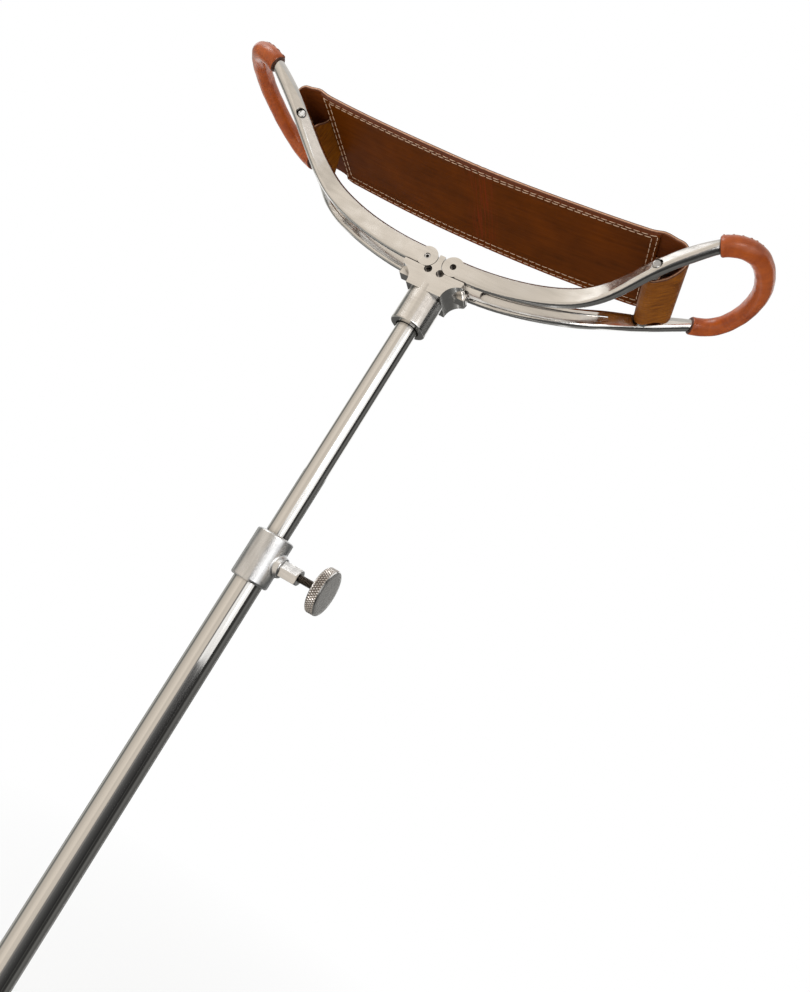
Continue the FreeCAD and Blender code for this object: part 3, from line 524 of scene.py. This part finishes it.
def strapPath(settings):
    # middle line of the top leather in x and z, with its outward normal
    path = []
    steps = int(settings["halfLength"] / settings["step"])
    toShoulder, roundShoulder, toRod, roundRod, upAgain = settings["pathSteps"]
    offset = settings["liningThickness"] + settings["layerGap"] + settings["topThickness"] / 2
    for i in range(steps + 1):
        x = settings["halfLength"] * i / steps
        normal = Vector((-slingSlope(x), 1)).normalized()
        path.append((Vector((x, slingHeight(x) + offset)), normal))
    shoulder = Vector(settings["shoulder"])
    rod = Vector(settings["rod"])
    gap = shoulder - rod
    reach = settings["rodRadius"] - settings["shoulderRadius"]
    touch = math.atan2(gap.y, gap.x) - math.acos(reach / gap.length)
    start = path[steps][0]
    end = shoulder + Vector((0, settings["shoulderRadius"]))
    for i in range(1, toShoulder):
        path.append((start.lerp(end, i / toShoulder), Vector((0, 1))))
    path += arcPath(shoulder, settings["shoulderRadius"], math.pi / 2, touch, roundShoulder)
    shoulderEnd = path[-1][0]
    foot = arcPath(rod, settings["rodRadius"], touch, -math.pi, roundRod)
    for i in range(1, toRod):
        path.append((shoulderEnd.lerp(foot[0][0], i / toRod), foot[0][1]))
    path += foot
    top = settings["endHeight"] + settings["liningThickness"] - settings["tailDrop"]
    bottom = foot[-1][0]
    for i in range(1, upAgain + 1):
        height = bottom.y + (top - bottom.y) * i / upAgain
        path.append((Vector((bottom.x, height)), Vector((-1, 0))))
    return path


def arcPath(centre, radius, start, end, count):
    spots = []
    for i in range(count + 1):
        angle = start + (end - start) * i / count
        normal = Vector((math.cos(angle), math.sin(angle)))
        spots.append((centre + normal * radius, normal))
    return spots


def halfWidthAt(distance, marks):
    for (near, nearWidth), (far, farWidth) in zip(marks, marks[1:]):
        if distance <= far:
            share = smooth((distance - near) / (far - near))
            return nearWidth + (farWidth - nearWidth) * share
    return marks[-1][1]


def makeStrap(name, path, widths, thickness, side, materials, settings):
    # a closed strap of leather along a path; side -1 mirrors it to the left
    points, cutPlaces, rings = [], [], len(path)
    distance = 0.0
    previous = path[0][0]
    for spot, normal in path:
        distance += (spot - previous).length
        previous = spot
        section = strapSection(halfWidthAt(distance, widths), thickness, settings)
        for across, lift, _ in section:
            # only the leather that faces up has creases
            wave = slingWave(spot.x * side, across) if normal.y > 0.5 else 0.0
            place2d = spot + normal * (lift + wave)
            points.append((side * place2d.x, across, pivotHeight + place2d.y))
            cutPlaces.append((distance * side, across, lift))
    edges = [edge for _, _, edge in section]
    around = len(edges)
    faces = ringFaces(rings, around, flip=side < 0)
    faceMaterials = []
    half = around // 2
    for row in range(rings - 1):
        for column in range(around):
            cut = edges[column] or edges[(column + 1) % around]
            faceMaterials.append(1 if cut else 2 if column >= half else 0)
    first = list(range(around))
    last = [(rings - 1) * around + i for i in range(around)]
    faces += [tuple(first if side < 0 else first[::-1]), tuple(last[::-1] if side < 0 else last)]
    faceMaterials += [1, 1]
    return makePiece(name, points, faces, materials, faceMaterials, cutPlaces, sharp=50)


def bendSling(piece):
    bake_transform(piece)


def makeSling(settings):
    path = strapPath(settings)
    length = sum((b[0] - a[0]).length for a, b in zip(path, path[1:]))
    widths = [*settings["taper"], *((length - back, width) for back, width in settings["tail"])]
    liningWidths = [(0.0, settings["halfWidth"]), (settings["liningEnd"], settings["halfWidth"])]
    liningSteps = int(settings["liningEnd"] / settings["step"])
    liningPath = []
    for i in range(liningSteps + 1):
        x = settings["liningEnd"] * i / liningSteps
        spot = Vector((x, slingHeight(x) + settings["liningThickness"] / 2))
        liningPath.append((spot, Vector((-slingSlope(x), 1)).normalized()))
    for sideName, side in sides.items():
        top = makeStrap(sideName + "SlingTop", path, widths, settings["topThickness"], side,
                        ["slingTan", "rawEdge", "slingFlesh"], settings)
        lining = makeStrap(sideName + "SlingLining", liningPath, liningWidths,
                           settings["liningThickness"], side,
                           ["liningChestnut", "liningEdge", "liningChestnut"], settings)
        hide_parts("seat_leather")
        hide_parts("seat_lining")
        bendSling(top)
        bendSling(lining)
    print("sling made, strap length", round(length, 1), "mm a side")


makeSling(slingSettings)

# double rows of stitches round the lining, seen below and above; each row's distance from the long
# edges and from the lining's end, and the slant and its spread in degrees
stitchSettings = {
    "rows": ((2.2, 1.6), (6.1, 5.6)), "pitch": 6.0, "length": 5.4, "radius": 0.3, "lift": 0.14,
    "slant": 2.0, "slantSpread": 3, "seed": 11,
}
# places along a stitch and the thread's thickness there, how far its ends dip, and sides round it
threadShape = {
    "stations": ((-1.0, 0.55), (-0.78, 0.95), (-0.35, 1.0), (0.35, 1.0), (0.78, 0.95), (1.0, 0.55)),
    "dip": 0.42, "sides": 7,
}


def stitchMesh(points, faces, centre, along, outward, settings, shape=threadShape):
    # one short arched thread, its ends sunk in the leather
    half = settings["length"] / 2
    sideways = along.cross(outward).normalized()
    base = len(points)
    count = shape["sides"]
    stations = shape["stations"]
    for share, width in stations:
        rise = settings["lift"] - shape["dip"] * share ** 4
        middle = centre + along * (half * share) + outward * rise
        for angle in angles(count):
            turned = sideways * math.cos(angle) + outward * math.sin(angle)
            points.append(tuple(middle + turned * settings["radius"] * width))
    for face in ringFaces(len(stations), count):
        faces.append(tuple(base + i for i in face))
    faces.append(tuple(base + i for i in range(count))[::-1])
    last = base + (len(stations) - 1) * count
    faces.append(tuple(last + i for i in range(count)))


def makeStitches(sling, settings):
    underside = 0.0
    topside = sling["liningThickness"] + sling["layerGap"] + sling["topThickness"]
    surfaces = ((underside, Vector((0, 0, -1))), (topside, Vector((0, 0, 1))))
    for sideName, side in sides.items():
        rng = random.Random(settings["seed"] + side)
        points, faces = [], []
        for sideOffset, endOffset in settings["rows"]:
            endX = sling["liningEnd"] - endOffset
            endY = sling["halfWidth"] - sideOffset
            spots = []
            count = int(endX / settings["pitch"])
            for i in range(count):
                x = (i + 0.5) * endX / count
                for y in (-endY, endY):
                    spots.append((x, y, Vector((side, 0, slingSlope(x))).normalized()))
            count = int(2 * endY / settings["pitch"])
            for i in range(count):
                spots.append((endX, -endY + (i + 0.5) * 2 * endY / count, Vector((0, 1, 0))))
            for x, y, along in spots:
                wave = slingWave(x * side, y)
                for surface, outward in surfaces:
                    uneven = rng.uniform(-settings["slantSpread"], settings["slantSpread"])
                    turn = math.radians(settings["slant"] + uneven)
                    slanted = Matrix.Rotation(turn, 3, outward) @ along
                    centre = Vector((side * x, y, pivotHeight + slingHeight(x) + wave + surface))
                    stitchMesh(points, faces, centre, slanted, outward, settings)
        piece = makePiece(sideName + "SlingStitches", points, faces, ["creamThread"])
        bendSling(piece)
    print("stitches made")


makeStitches(slingSettings, stitchSettings)

# leather sleeves on the handles: a sewn tube along a three-centred bend
handleSettings = {
    "start": (186.0, 52.5, 76.0), "tilt": 21.0, "flare": 18.0, "cornerRadius": 26.0,
    "cornerSweep": 76.0, "outerRadius": 7.25, "innerRadius": 5.05, "around": 56, "step": 1.4,
    "rim": 0.5, "seamAngle": 112.0, "seamHeight": 0.65, "seamWidth": 1.7, "grooveDepth": 0.75,
    "grooveWidth": 0.42, "stitchPitch": 5.4, "ripple": 0.25,
    # at each end the leather turns in over a short way and stands out a little further back
    "endRound": 1.1, "endReach": 1.6, "endFlare": 0.25, "flareReach": 3.0,
    # height, waves along and turns round of the handmade unevenness
    "uneven": ((0.10, 0.21, 1), (0.06, 0.47, -2)),
}
# the seam's thicker thread crosses the lips, sunk a little below their tops
seamStitchSettings = {"length": 3.4, "radius": 0.42, "lift": 0.12, "slant": 0.45, "sink": 0.25}


def handlePath(settings):
    # points and inward normals along the right handle's middle line, and its plane's normal
    tilt = math.radians(settings["tilt"])
    flare = math.radians(settings["flare"])
    turn = math.radians(settings["cornerSweep"])
    outward = Vector((math.cos(tilt), 0, math.sin(tilt)))
    across = Vector((0, 1, 0))
    start = Vector(settings["start"])
    radius = settings["cornerRadius"]
    corner = start + (outward * math.sin(flare) - across * math.cos(flare)) * radius
    cornerEnd = turn - flare
    endOut = outward * math.sin(cornerEnd) + across * math.cos(cornerEnd)
    finish = corner + endOut * radius
    wideRadius = finish.y / math.cos(cornerEnd)
    wide = finish - endOut * wideRadius
    spots = []
    count = int(radius * turn / settings["step"])
    for i in range(count):
        angle = -flare + turn * i / count
        out = outward * math.sin(angle) + across * math.cos(angle)
        spots.append((corner + out * radius, -out))
    sweep = math.pi / 2 - cornerEnd
    count = int(wideRadius * sweep / settings["step"])
    for i in range(count + 1):
        angle = cornerEnd + sweep * i / count
        out = outward * math.sin(angle) + across * math.cos(angle)
        spots.append((wide + out * wideRadius, -out))
    # a close pair of stations at the rim keeps the burnished line narrow
    first, second = spots[0], spots[1]
    rim = first[0].lerp(second[0], settings["rim"] / settings["step"])
    spots.insert(1, (rim, first[1]))
    mirrored = [(Vector((p.x, -p.y, p.z)), Vector((n.x, -n.y, n.z)))
                for p, n in reversed(spots[:-1])]
    return spots + mirrored, outward.cross(across).normalized()


def sleeveLift(angle, seam, distance, settings):
    # the two sewn lips and the groove between them
    away = (angle - seam + math.pi) % (2 * math.pi) - math.pi
    arc = away * settings["outerRadius"]
    lip = settings["seamHeight"] * math.exp(-(arc / settings["seamWidth"]) ** 2)
    groove = settings["grooveDepth"] * math.exp(-(arc / settings["grooveWidth"]) ** 2)
    ripple = 1 + settings["ripple"] * math.sin(distance * 2 * math.pi / settings["stitchPitch"])
    uneven = sum(height * math.sin(distance * waves + turns * angle)
                 for height, waves, turns in settings["uneven"])
    return lip * ripple - groove + uneven


def sleeveProfile(path, settings):
    # each station with its distance along the sleeve and how far the leather turns in there
    distances = [0.0]
    for (near, _), (far, _) in zip(path, path[1:]):
        distances.append(distances[-1] + (far - near).length)
    profile = []
    for (spot, inward), distance in zip(path, distances):
        ends = min(distance, distances[-1] - distance)
        rounding = settings["endRound"] * max(0.0, 1 - ends / settings["endReach"]) ** 2
        flareOut = settings["endFlare"] * math.exp(-(ends / settings["flareReach"]) ** 2)
        profile.append((spot, inward, distance, rounding - flareOut))
    return profile


def makeSleeves(settings):
    path, plane = handlePath(settings)
    profile = sleeveProfile(path, settings)
    total = len(path)
    seam = math.radians(settings["seamAngle"])
    for sideName, side in sides.items():
        points, cutPlaces = [], []
        for spot, inward, distance, drop in profile:
            for angle in angles(settings["around"]):
                out = inward * math.cos(angle) + plane * math.sin(angle)
                lift = sleeveLift(angle, seam, distance, settings)
                radius = settings["outerRadius"] - drop + lift
                place3d = spot + out * radius
                points.append((side * place3d.x, place3d.y, pivotHeight + place3d.z))
                cutPlaces.append((distance, angle * settings["outerRadius"], 0))
        for spot, inward, distance, _ in profile[::-1]:
            for angle in angles(settings["around"]):
                out = inward * math.cos(angle) + plane * math.sin(angle)
                place3d = spot + out * settings["innerRadius"]
                points.append((side * place3d.x, place3d.y, pivotHeight + place3d.z))
                cutPlaces.append((distance, angle * settings["outerRadius"], 2))
        faces = ringFaces(2 * total, settings["around"], closedRings=True, flip=side > 0)
        faceMaterials = []
        for row in range(2 * total):
            cut = row in (0, total - 2, total - 1, 2 * total - 1)
            faceMaterials += [1 if cut else 0] * settings["around"]
        sleeve = makePiece(sideName + "HandleSleeve", points, faces, ["handleTan", "burnishedEdge"],
                           faceMaterials, cutPlaces, sharp=60)
        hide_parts(sideName + "_handle_leather")
        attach(sleeve, sideName + "_half")
        makeSeamStitches(sideName, side, profile, plane, seam, settings, seamStitchSettings)
    print("handle sleeves made")


def makeSeamStitches(sideName, side, profile, plane, seam, settings, stitch):
    points, faces = [], []
    mirror = Vector((side, 1, 1))
    base = Vector((0, 0, pivotHeight))
    nextAt = settings["stitchPitch"] / 2
    for index in range(1, len(profile) - 1):
        spot, inward, distance, _ = profile[index]
        if distance < nextAt:
            continue
        nextAt += settings["stitchPitch"]
        out = inward * math.cos(seam) + plane * math.sin(seam)
        along = (profile[index + 1][0] - profile[index - 1][0]).normalized()
        sideways = along.cross(out).normalized()
        slanted = (sideways + along * stitch["slant"]).normalized()
        centre = spot + out * (settings["outerRadius"] + settings["seamHeight"] - stitch["sink"])
        stitchMesh(points, faces, centre * mirror + base, slanted * mirror, out * mirror, stitch)
    piece = makePiece(sideName + "SeamThread", points, faces, ["rustThread"])
    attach(piece, sideName + "_half")


makeSleeves(handleSettings)

# knurled thumb wheel and threaded clamp screw, both along +X
wheelSettings = {
    "height": 499.5, "face": 55.8, "thickness": 8.0, "radius": 18.0, "edge": 0.8, "teeth": 56,
    "depth": 0.7, "samples": 8, "rows": 28, "bore": 3.05, "boreDepth": 4.05,
    # the knurl's angle in degrees, how fast it fades at the rim's edges, the rim's drop there, and
    # how steep the ridges are: over 1 their tops are flat
    "knurlAngle": 32, "runOut": 14, "rimDrop": 0.25, "steepness": 1.25,
    # turned rings on the faces, as distances in from the rim, and two rings near the middle
    "backRing": 2.2, "frontRings": (1.9, 4.5), "middleRings": (4.0, 0.35),
    # the chamfers: depth from the face, and width as a share of the edge on the back and front
    "chamfer": 0.12, "backChamfer": 1.4, "frontChamfer": 1.3,
}


def turnedPoint(x, radius, angle, height):
    return (x, radius * math.cos(angle), height + radius * math.sin(angle))


def makeWheel(settings):
    around = settings["teeth"] * settings["samples"]
    back = settings["face"] - settings["thickness"]
    face, radius, edge = settings["face"], settings["radius"], settings["edge"]
    profile = [(back, settings["bore"], 0), (back, radius - settings["backRing"], 0),
               (back + settings["chamfer"], radius - edge * settings["backChamfer"], 0)]
    knurlStart = back + edge
    knurlLength = settings["thickness"] - 2 * edge
    for i in range(settings["rows"] + 1):
        share = i / settings["rows"]
        fade = min(1.0, min(share, 1 - share) * settings["runOut"])
        ring = radius - settings["rimDrop"] * (1 - fade)
        profile.append((knurlStart + knurlLength * share, ring, fade))
    profile.append((face - settings["chamfer"], radius - edge * settings["frontChamfer"], 0))
    profile += [(face, radius - ring, 0) for ring in settings["frontRings"]]
    profile += [(face, ring, 0) for ring in settings["middleRings"]]
    twist = math.tan(math.radians(settings["knurlAngle"])) / radius
    steepness = settings["steepness"]
    points, cuts = [], []
    for x, ring, knurl in profile:
        for angle in angles(around):
            drop = 0.0
            if knurl:
                lead = (x - back) * twist
                first = triangle(settings["teeth"] * (angle + lead) / (2 * math.pi), steepness)
                second = triangle(settings["teeth"] * (angle - lead) / (2 * math.pi), steepness)
                drop = settings["depth"] * knurl * max(1 - first, 1 - second)
            points.append(turnedPoint(x, ring - drop, angle, settings["height"]))
            # the groove's depth, which the material turns into painted shade
            cuts.append((0, 0, drop))
    rings = len(profile)
    faces = ringFaces(rings, around)
    faces.append(tuple((rings - 1) * around + i for i in range(around)))
    addSocket(points, faces, around, back, settings)
    cuts += [(0, 0, 0)] * (len(points) - len(cuts))
    wheel = makePiece("thumbWheel", points, faces, ["knurledAlloy"], cutPlaces=cuts, sharp=28)
    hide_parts("thumb_wheel")
    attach(wheel, "thumb_screw")
    print("thumb wheel made")


def triangle(value, steepness):
    # 1 on a ridge, which has a flat top, and 0 at the bottom of a groove
    share = abs((value % 1.0) - 0.5) * 2
    return min(1.0, share * steepness)


def addSocket(points, faces, around, back, settings):
    # the blind hole that the screw fills
    base = len(points)
    x = back + settings["boreDepth"]
    for angle in angles(around):
        points.append(turnedPoint(x, settings["bore"], angle, settings["height"]))
    for i in range(around):
        following = (i + 1) % around
        faces.append((i, base + i, base + following, following))
    faces.append(tuple(base + i for i in range(around))[::-1])


screwSettings = {
    "start": 10.9, "threadStart": 29.0, "end": 51.8, "radius": 3.0, "core": 2.45, "pitch": 1.0,
    "around": 40, "rowsPerPitch": 8, "tipChamfer": 0.4, "tipRadius": 2.05, "shankRadius": 2.65,
    # the thread's flat root as a share of half a pitch, and how steeply its flank rises
    "root": 0.16, "flank": 1.5,
}


def threadRadius(x, angle, settings):
    share = abs(((x / settings["pitch"] - angle / (2 * math.pi)) % 1.0) - 0.5) * 2
    flank = min(1.0, max(0.0, (share - settings["root"]) * settings["flank"]))
    return settings["core"] + (settings["radius"] - settings["core"]) * flank


def makeScrew(settings, height):
    points, cuts = [], []
    begin, threaded = settings["threadStart"], settings["end"] - settings["threadStart"]
    rows = int(threaded / settings["pitch"] * settings["rowsPerPitch"])
    positions = [settings["start"], settings["start"] + settings["tipChamfer"]]
    positions += [begin + threaded * i / rows for i in range(rows + 1)]
    # the chamfered tip comes first, then two rings of the plain shank, and then the thread
    for index, x in enumerate(positions):
        for angle in angles(settings["around"]):
            if index == 0:
                radius = settings["tipRadius"]
            elif index < 3:
                radius = settings["shankRadius"]
            else:
                radius = threadRadius(x, angle, settings)
            points.append(turnedPoint(x, radius, angle, height))
            # the thread's depth, which the material turns into painted shade
            cuts.append((0, 0, settings["radius"] - radius))
    faces = ringFaces(len(positions), settings["around"])
    last = (len(positions) - 1) * settings["around"]
    faces.append(tuple(range(settings["around"]))[::-1])
    faces.append(tuple(last + i for i in range(settings["around"])))
    screw = makePiece("clampScrewThread", points, faces, ["screwSteel"], cutPlaces=cuts, sharp=35)
    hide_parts("clamp_screw")
    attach(screw, "thumb_screw")
    print("clamp screw made")


makeWheel(wheelSettings)
makeScrew(screwSettings, wheelSettings["height"])

# pale floor and soft studio light
studioSettings = {
    "floorColor": (0.95, 0.95, 0.94), "floorRoughness": 0.9, "floorSpecular": 0.1,
    "floorRadius": 9.0, "floorSides": 96, "worldStrength": 0.42,
    # how strongly the floor glows near the stick and far off, and the distances between
    "glow": (0.35, 1.0), "glowReach": (0.25, 0.9),
}
lampSettings = {
    "keyLamp": {"place": (-1.9, -1.3, 2.5), "aim": (0, 0, 0.7), "size": (1.3, 1.3), "power": 56},
    "fillLamp": {"place": (1.75, -1.3, 1.0), "aim": (0, 0, 0.6), "size": (0.5, 1.4), "power": 3},
    "topLamp": {"place": (0.3, 0.8, 2.7), "aim": (0, 0, 0.8), "size": (1.8, 1.4), "power": 18},
}
cardStep = 3
# pale and dark cards that only glossy surfaces see: a profile of distance and height, and the
# shade at each stop of azimuth in degrees
cardSettings = {
    "creamCard": {
        "profile": ((0.02, 0.004), (0.98, 0.004), (1.0, 1.45)), "tint": (1.0, 0.91, 0.80),
        "stops": ((-172, 0.50), (-150, 0.60), (-128, 0.72), (-112, 0.78), (-100, 0.62), (-86, 0.68),
                  (-76, 0.66)),
    },
    "lineCard": {
        "profile": ((0.02, 0.004), (0.97, 0.004), (0.97, 0.60)), "tint": (1, 0.96, 0.92),
        "stops": ((-76, 0.30), (-71, 0.16), (-66, 0.35)),
    },
    "upperCard": {
        "profile": ((0.98, 1.08), (1.0, 1.45)), "tint": (1.0, 0.93, 0.86),
        "stops": ((-76, 0.72), (-66, 0.78), (-40, 0.80), (-11, 0.60)),
    },
    "lowCard": {
        "profile": ((0.02, 0.004), (0.96, 0.004), (0.96, 0.30)), "tint": (1, 1, 1),
        "stops": ((-66, 0.13), (-40, 0.06), (-10, 0.02)),
    },
    "windowCard": {
        "profile": ((0.95, 0.72), (0.95, 0.96)), "tint": (1, 0.96, 0.92),
        "stops": ((-66, 5.5), (-48, 5.5)),
    },
    "rightCard": {
        "profile": ((0.02, 0.004), (0.98, 0.004), (0.98, 1.20)), "tint": (1, 1, 0.97),
        "stops": ((-11, 0.10), (-4, 0.03), (10, 0.04), (20, 0.14), (44, 0.11), (60, 0.10),
                  (74, 0.30)),
    },
    "backCard": {
        "profile": ((0.02, 0.004), (0.98, 0.004), (0.98, 0.72)), "tint": (1, 1, 0.97),
        "stops": ((76, 0.24), (88, 0.12), (112, 0.10), (132, 0.16), (146, 0.4)),
    },
    "leftCard": {
        "profile": ((0.02, 0.004), (0.98, 0.004), (0.98, 1.20)), "tint": (1, 1, 0.94),
        "stops": ((146, 0.60), (158, 0.42), (170, 0.15), (182, 0.20), (188, 0.42)),
    },
    "ceilingCard": {
        "profile": ((0.0, 1.75), (0.75, 1.70), (1.0, 1.45)), "tint": (1, 0.97, 0.93),
        "stops": ((-180, 0.70), (-90, 0.58), (0, 0.50), (90, 0.58), (180, 0.70)),
    },
}


def makeFloor(settings):
    count, radius = settings["floorSides"], settings["floorRadius"]
    points = [(0, 0, 0)]
    for angle in angles(count):
        points.append((radius * math.cos(angle), radius * math.sin(angle), 0))
    mesh = bpy.data.meshes.new("studioFloor")
    mesh.from_pydata(points, [], [(0, i + 1, (i + 1) % count + 1) for i in range(count)])
    floor = bpy.data.objects.new("studioFloor", mesh)
    scene.collection.objects.link(floor)
    material, tree, shader = newMaterial("studioFloor")
    shader.inputs["Base Color"].default_value = (*settings["floorColor"], 1)
    shader.inputs["Roughness"].default_value = settings["floorRoughness"]
    shader.inputs["Specular IOR Level"].default_value = settings["floorSpecular"]
    output = tree.nodes["Material Output"]
    glow = addNode(tree, "ShaderNodeEmission", {"Strength": 1.0})
    paths = addNode(tree, "ShaderNodeLightPath")
    coordinates = addNode(tree, "ShaderNodeTexCoord")
    reach = addNode(tree, "ShaderNodeVectorMath", operation="LENGTH")
    join(tree, coordinates, "Object", reach, 0)
    far = spread(tree, reach, "Value", *settings["glow"], *settings["glowReach"])
    seen = combine(tree, "MAXIMUM", paths, "Is Camera Ray", paths, "Is Glossy Ray")
    amount = combine(tree, "MULTIPLY", far, "Result", seen, 0)
    mix = addNode(tree, "ShaderNodeMixShader")
    join(tree, amount, 0, mix, 0)
    join(tree, shader, 0, mix, 1)
    join(tree, glow, 0, mix, 2)
    join(tree, mix, 0, output, "Surface")
    mesh.materials.append(material)


def makeWorld(settings):
    world = bpy.data.worlds.new("studioWorld")
    scene.world = world
    world.use_nodes = True
    tree = world.node_tree
    background = tree.nodes["Background"]
    background.inputs["Color"].default_value = (1, 1, 1, 1)
    paths = addNode(tree, "ShaderNodeLightPath")
    direct = combine(tree, "MAXIMUM", paths, "Is Camera Ray", paths, "Is Transmission Ray")
    seen = combine(tree, "MAXIMUM", direct, 0, paths, "Is Glossy Ray")
    strength = spread(tree, seen, 0, settings["worldStrength"], 1.0, 0.0, 1.0)
    join(tree, strength, "Result", background, "Strength")


def makeLamp(name, settings):
    data = bpy.data.lights.new(name, "AREA")
    data.shape = "RECTANGLE"
    data.size, data.size_y = settings["size"]
    data.energy = settings["power"]
    lamp = bpy.data.objects.new(name, data)
    scene.collection.objects.link(lamp)
    lamp.location = settings["place"]
    aim = Vector(settings["aim"]) - Vector(settings["place"])
    lamp.rotation_mode = "QUATERNION"
    lamp.rotation_quaternion = aim.to_track_quat("-Z", "Y")
    lamp.visible_camera = False


def makeCard(name, settings):
    # a card bent round the stick along its profile, seen by glossy rays only
    profile = settings["profile"]
    stops = settings["stops"]
    points, faces, shades = [], [], []
    for (start, startShade), (end, endShade) in zip(stops, stops[1:]):
        count = max(2, int((end - start) / cardStep))
        for i in range(count + (end == stops[-1][0])):
            angle = math.radians(start + (end - start) * i / count)
            shade = startShade + (endShade - startShade) * i / count
            for distance, height in profile:
                points.append((distance * math.cos(angle), distance * math.sin(angle), height))
                shades.append((*(shade * tint for tint in settings["tint"]), 1))
    rows = len(profile)
    for i in range(len(points) // rows - 1):
        for j in range(rows - 1):
            corner = i * rows + j
            faces.append((corner, corner + rows, corner + rows + 1, corner + 1))
    mesh = bpy.data.meshes.new(name)
    mesh.from_pydata(points, [], faces)
    layer = mesh.color_attributes.new("shade", "FLOAT_COLOR", "POINT")
    layer.data.foreach_set("color", [value for shade in shades for value in shade])
    card = bpy.data.objects.new(name, mesh)
    scene.collection.objects.link(card)
    material, tree, shader = newMaterial(name)
    tree.nodes.remove(shader)
    glow = addNode(tree, "ShaderNodeEmission", {"Strength": 1.0})
    paint = addNode(tree, "ShaderNodeAttribute", attribute_name="shade")
    join(tree, paint, "Color", glow, "Color")
    join(tree, glow, 0, tree.nodes["Material Output"], "Surface")
    mesh.materials.append(material)
    card.visible_camera = False
    card.visible_diffuse = False
    card.visible_shadow = False
    card.visible_transmission = False


makeFloor(studioSettings)
makeWorld(studioSettings)
for name, settings in lampSettings.items():
    makeLamp(name, settings)
for name, settings in cardSettings.items():
    makeCard(name, settings)
scene.view_settings.view_transform = "Standard"
print("studio made")
